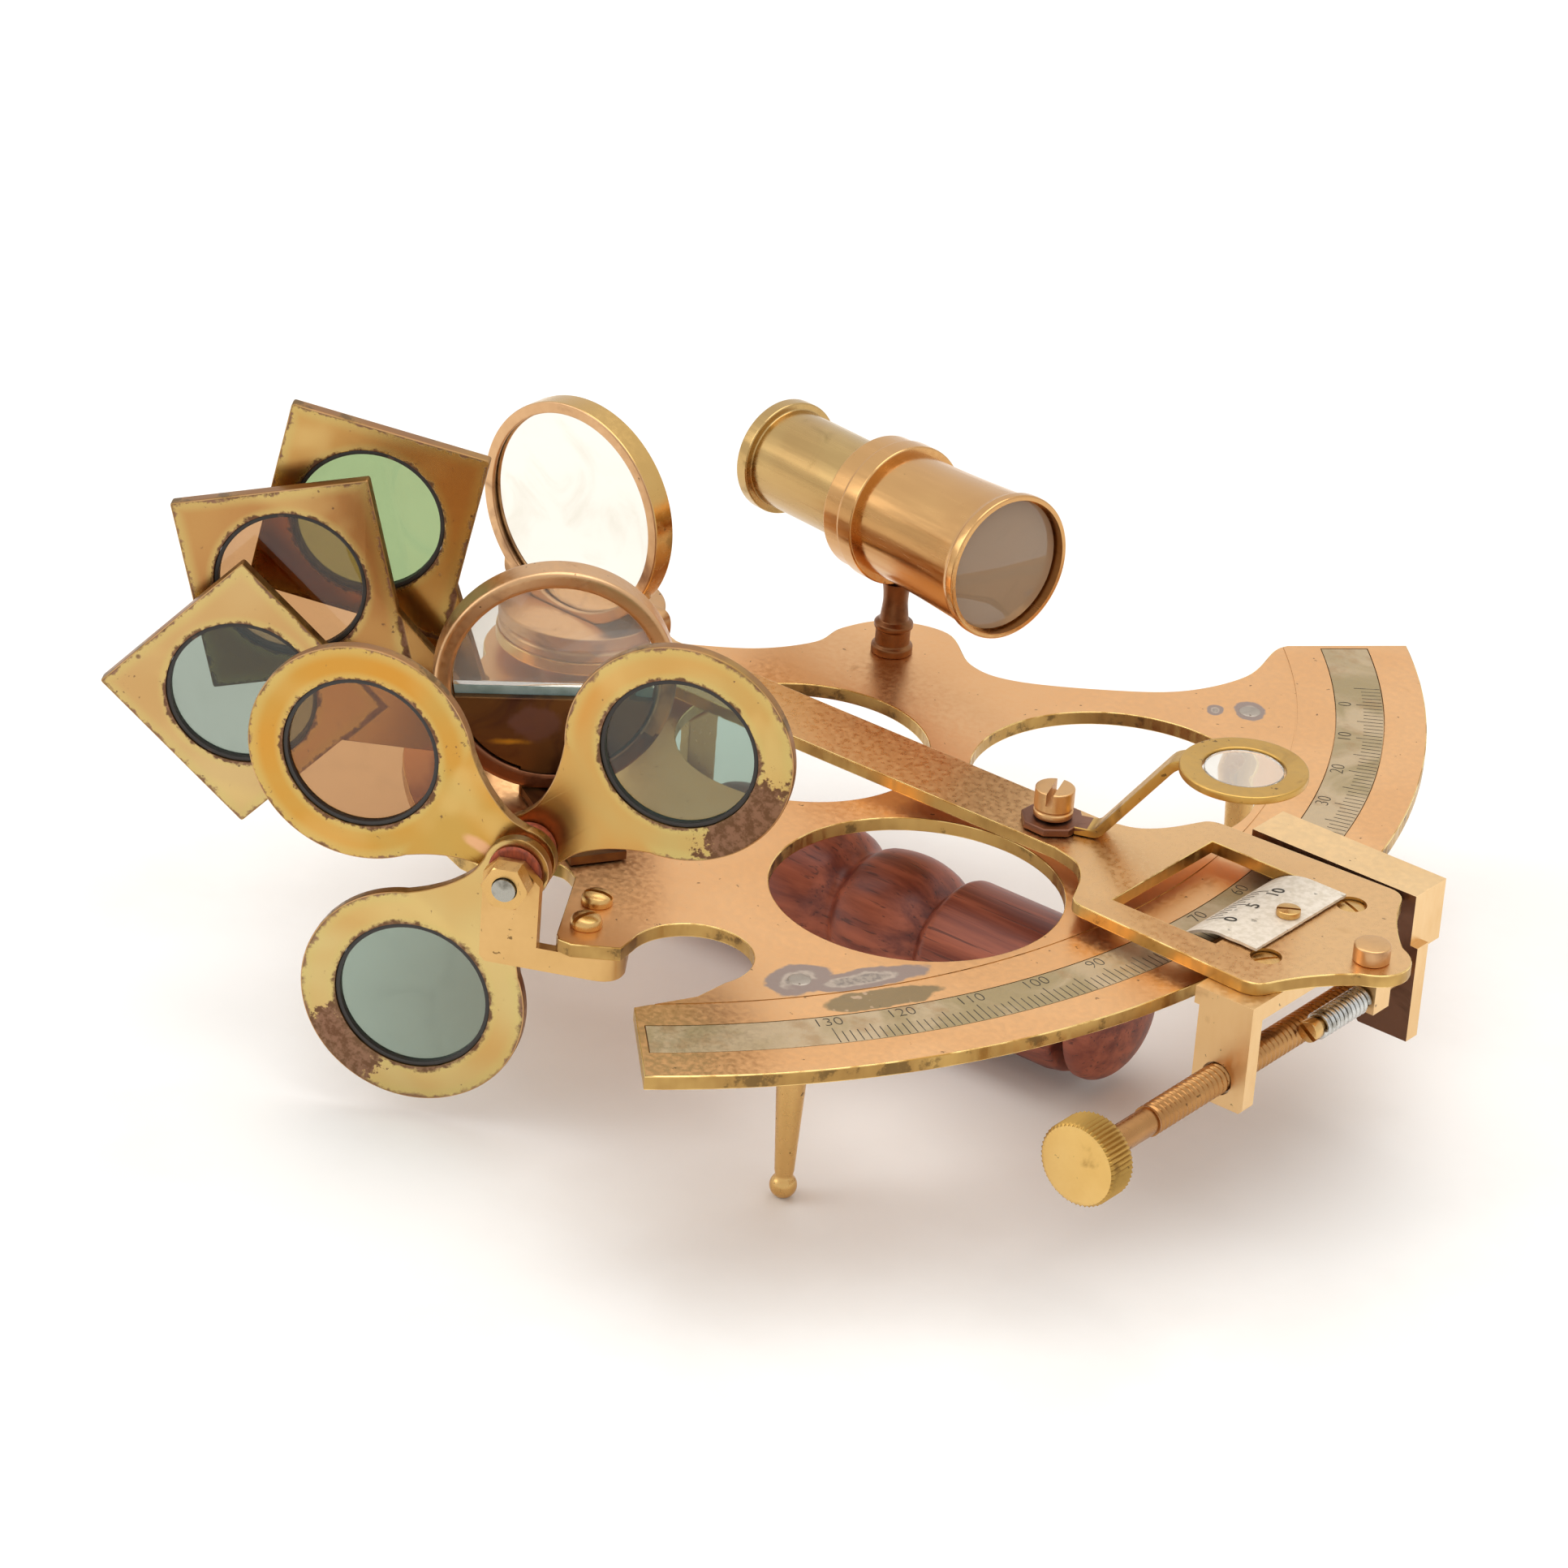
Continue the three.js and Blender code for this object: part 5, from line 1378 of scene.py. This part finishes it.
def make_shade_bracket():
    """An upright with a chamfered top beside a flange screwed under the limb's tab."""
    low = -15.9
    flange_top = PLATE_BOTTOM - SHADES_Z - GAP
    post = [(-4.6, low + 1), (-3.6, low), (10, low), (10, flange_top), (5, flange_top), (5, -0.5),
            (1.8, 2.8), (-2.6, 2.8), (-4.6, 0.6)]
    corner = bezier((14.6, 4.2), (19.1, 4.2), (19.1, 8.7), 10)
    flange = [(8.4, 4.2), (14.6, 4.2), *corner, (17, 21), (8.4, 21)]
    body = fused(upright([post], POST_FACE - 2, POST_FACE, 0), plate([flange], low, flange_top, 0))
    holes = [moved(rod(2.3, 3, 8, edge=0), turn=ALONG_Y)]
    for x, y in BRACKET_SCREWS:
        spot = SHADES.inverted() @ (Vector((x, y, 0)) * MM) / MM
        holes.append(moved(rod(1.7, low - 1, flange_top + 1, edge=0), spot.x, spot.y))
    add("shade_bracket_bent", eased(cut(body, *holes), 0.28), BRACKET, "shade_bracket",
        SHADES)
    place = SHADES @ ALONG_Y
    faces = [POST_FACE] + [shade["front"] for shade in HORIZON_SHADES]
    last = faces[-1] + SHADE_THICK
    bolt = fused(threaded(2.0, 0.18, 0.7, 0, last + 0.8), hex_nut(3.6, last + GAP, last + GAP + 2.4))
    add("shade_bolt_threaded", bolt, BOLT_STEEL, "shade_bolt", place)
    add("shade_nut_hex", hex_nut(4.04, 0.6, 3.9, 2.15), YELLOW, "shade_nut", place)
    finishes = [RED_FIBRE, PINK_FIBRE, RED_FIBRE]
    for number, (before, after, finish) in enumerate(zip(faces, faces[1:], finishes), 1):
        start = before + (0.25 if number == 1 else SHADE_THICK + 0.25)
        ring = [(2.3, start), (4.3, start), (4.6, (start + after) / 2), (4.3, after - 0.25),
                (2.3, after - 0.25)]
        washer = hoop(ring, 0.3)
        add(f"shade_washer_{number}_fibre", washer, finish, f"shade_washer_{number}", place)


# ---- Reading lens ----


def make_magnifier():
    """A round base under the screw, a strap bent up to a level ring, and the lens."""
    low, high, thick = ARM_TOP + GAP / 2, PLATE_TOP + 22.6, 1.4
    path = [(2.5, low), (7.6, low)]
    path += bezier((7.6, low), (8.6, low), (9.4, low + 0.9), 4)
    path += [(20.0, high - thick - 1.6)]
    path += bezier((20.0, high - thick - 1.6), (21.2, high - thick), (23.2, high - thick), 5)
    path += [(24.5, high - thick), (24.5, high)]
    path += [(22.6, high)] + bezier((22.6, high), (20.2, high), (19.0, high - 1.5), 5)
    path += [(8.2, low + 2.0)] + bezier((8.2, low + 2.0), (7.7, low + thick), (6.6, low + thick), 4)
    path += [(2.5, low + thick)]
    strap = upright([path], -2.4, 2.4, 0.2)
    base = rod(5.5, low, low + thick, 8, 0.3)
    ring = moved(pipe(7.0, 10.9, high - thick, high, 96, 0.35), MAGNIFIER_REACH)
    body = cut(fused(base, strap, ring), rod(1.8, low - 1, low + thick + 1, edge=0),
               moved(rod(7.0, high - thick - 1, high + 1, 96, 0), MAGNIFIER_REACH))
    arm = add("magnifier_strap", body, [READING, PURPLED], "magnifier_arm", MAGNIFIER,
              "magnifier")
    paint(arm, lambda face: face.center.xy.length < 5.7 * MM)
    lens = [(0, -0.36), (3.5, -0.34), (6.6, -0.3), (6.75, -0.15), (6.75, 0.6), (6.6, 0.75), (3.5, 0.82),
            (0, 0.84)]
    place = MAGNIFIER @ group(MAGNIFIER_REACH, 0, high - 1)
    add("magnifier_glass", turned(lens, 96), DUSTY, "magnifier_lens", place, "magnifier")
    head = low + thick + 0.35
    screw = soften([(0, ARM_BOTTOM), (1.5, ARM_BOTTOM), (1.5, head), (3.4, head), (3.4, head + 1.0),
                    (3.2, head + 1.15), (3.2, head + 1.45), (3.4, head + 1.6), (3.4, head + 5.1),
                    (0, head + 5.1)], 0.25, False)
    add("magnifier_screw_slotted", slotted(screw, 1.2, 2.2, 110), PLAIN, "magnifier_screw",
        group(*MAGNIFIER_PIVOT, 0), "arm")


make_limb()
make_scale()
make_scale_marks()
for leg_name, (leg_x, leg_y) in LEGS.items():
    make_leg(leg_name, leg_x, leg_y)
make_pivot()
make_handle()
make_handle_bracket("handle_bracket_inner", 16, 28.7)
make_handle_bracket("handle_bracket_outer", 105, 117)
make_telescope()
make_arm()
make_screws()
make_vernier()
make_nut_bracket()
make_tangent_screw()
make_knobs()
make_clamp()
make_spring()
make_index_mirror()
make_horizon()
make_horizon_glass()
make_horizon_shades()
make_index_shades()
make_shade_bracket()
make_magnifier()

# ---- Floor, light and camera ----


def floor_finish():
    f = Finish("floor", "efeae4", 0.6, 0)
    f.colour(f.blended(f.between(f.noise(14, 6), 0.4, 0.65), "f0eeea", "ebe8e3"))
    f.relief(f.noise(260, 4), 0.15, 0.25)
    return f.material


def make_floor():
    bm = bmesh.new()
    bmesh.ops.create_grid(bm, x_segments=8, y_segments=8, size=3)
    mesh = as_mesh(bm)
    mesh.materials.append(floor_finish())
    floor = linked("floor", mesh)


def soft_light(name, location, target, size, power):
    lamp = bpy.data.lights.new(name, "AREA")
    lamp.shape = "RECTANGLE"
    lamp.size, lamp.size_y = size
    lamp.energy = power
    holder = linked(name, lamp)
    holder.location = location
    holder.rotation_euler = (Vector(target) - Vector(location)).to_track_quat("-Z", "Y").to_euler()


def make_light():
    world = bpy.data.worlds.new("studio")
    world.use_nodes = True
    world.node_tree.nodes["Background"].inputs["Color"].default_value = (1, 1, 1, 1)
    world.node_tree.nodes["Background"].inputs["Strength"].default_value = 0.9
    bpy.context.scene.world = world
    bpy.context.scene.view_settings.view_transform = "Standard"
    centre = (0.08, 0, 0.04)
    soft_light("overhead", (0.1, 0.2, 1.4), centre, (1.6, 1.2), 11)
    soft_light("side", (-0.9, -0.9, 0.9), centre, (0.9, 0.9), 5)


def make_camera():
    """Looks down at the sextant from in front of its arc, rolled a little to the left."""
    pitch, yaw, roll = math.radians(27.651), math.radians(126.237), math.radians(4.4215)
    forward = Vector((math.cos(yaw) * math.cos(pitch), math.sin(yaw) * math.cos(pitch), -math.sin(pitch)))
    right = Vector((math.sin(yaw), -math.cos(yaw), 0))
    up = right.cross(forward)
    rolled_right = math.cos(roll) * right + math.sin(roll) * up
    rolled_up = math.cos(roll) * up - math.sin(roll) * right
    data = bpy.data.cameras.new("camera")
    data.lens = 157.74
    data.sensor_width = 36
    data.clip_start = 0.01
    camera = linked("camera", data)
    turn = Matrix((rolled_right, rolled_up, -forward)).transposed().to_4x4()
    camera.matrix_world = Matrix.Translation((0.67211, -0.85303, 0.58549)) @ turn
    bpy.context.scene.camera = camera


make_floor()
make_light()
make_camera()
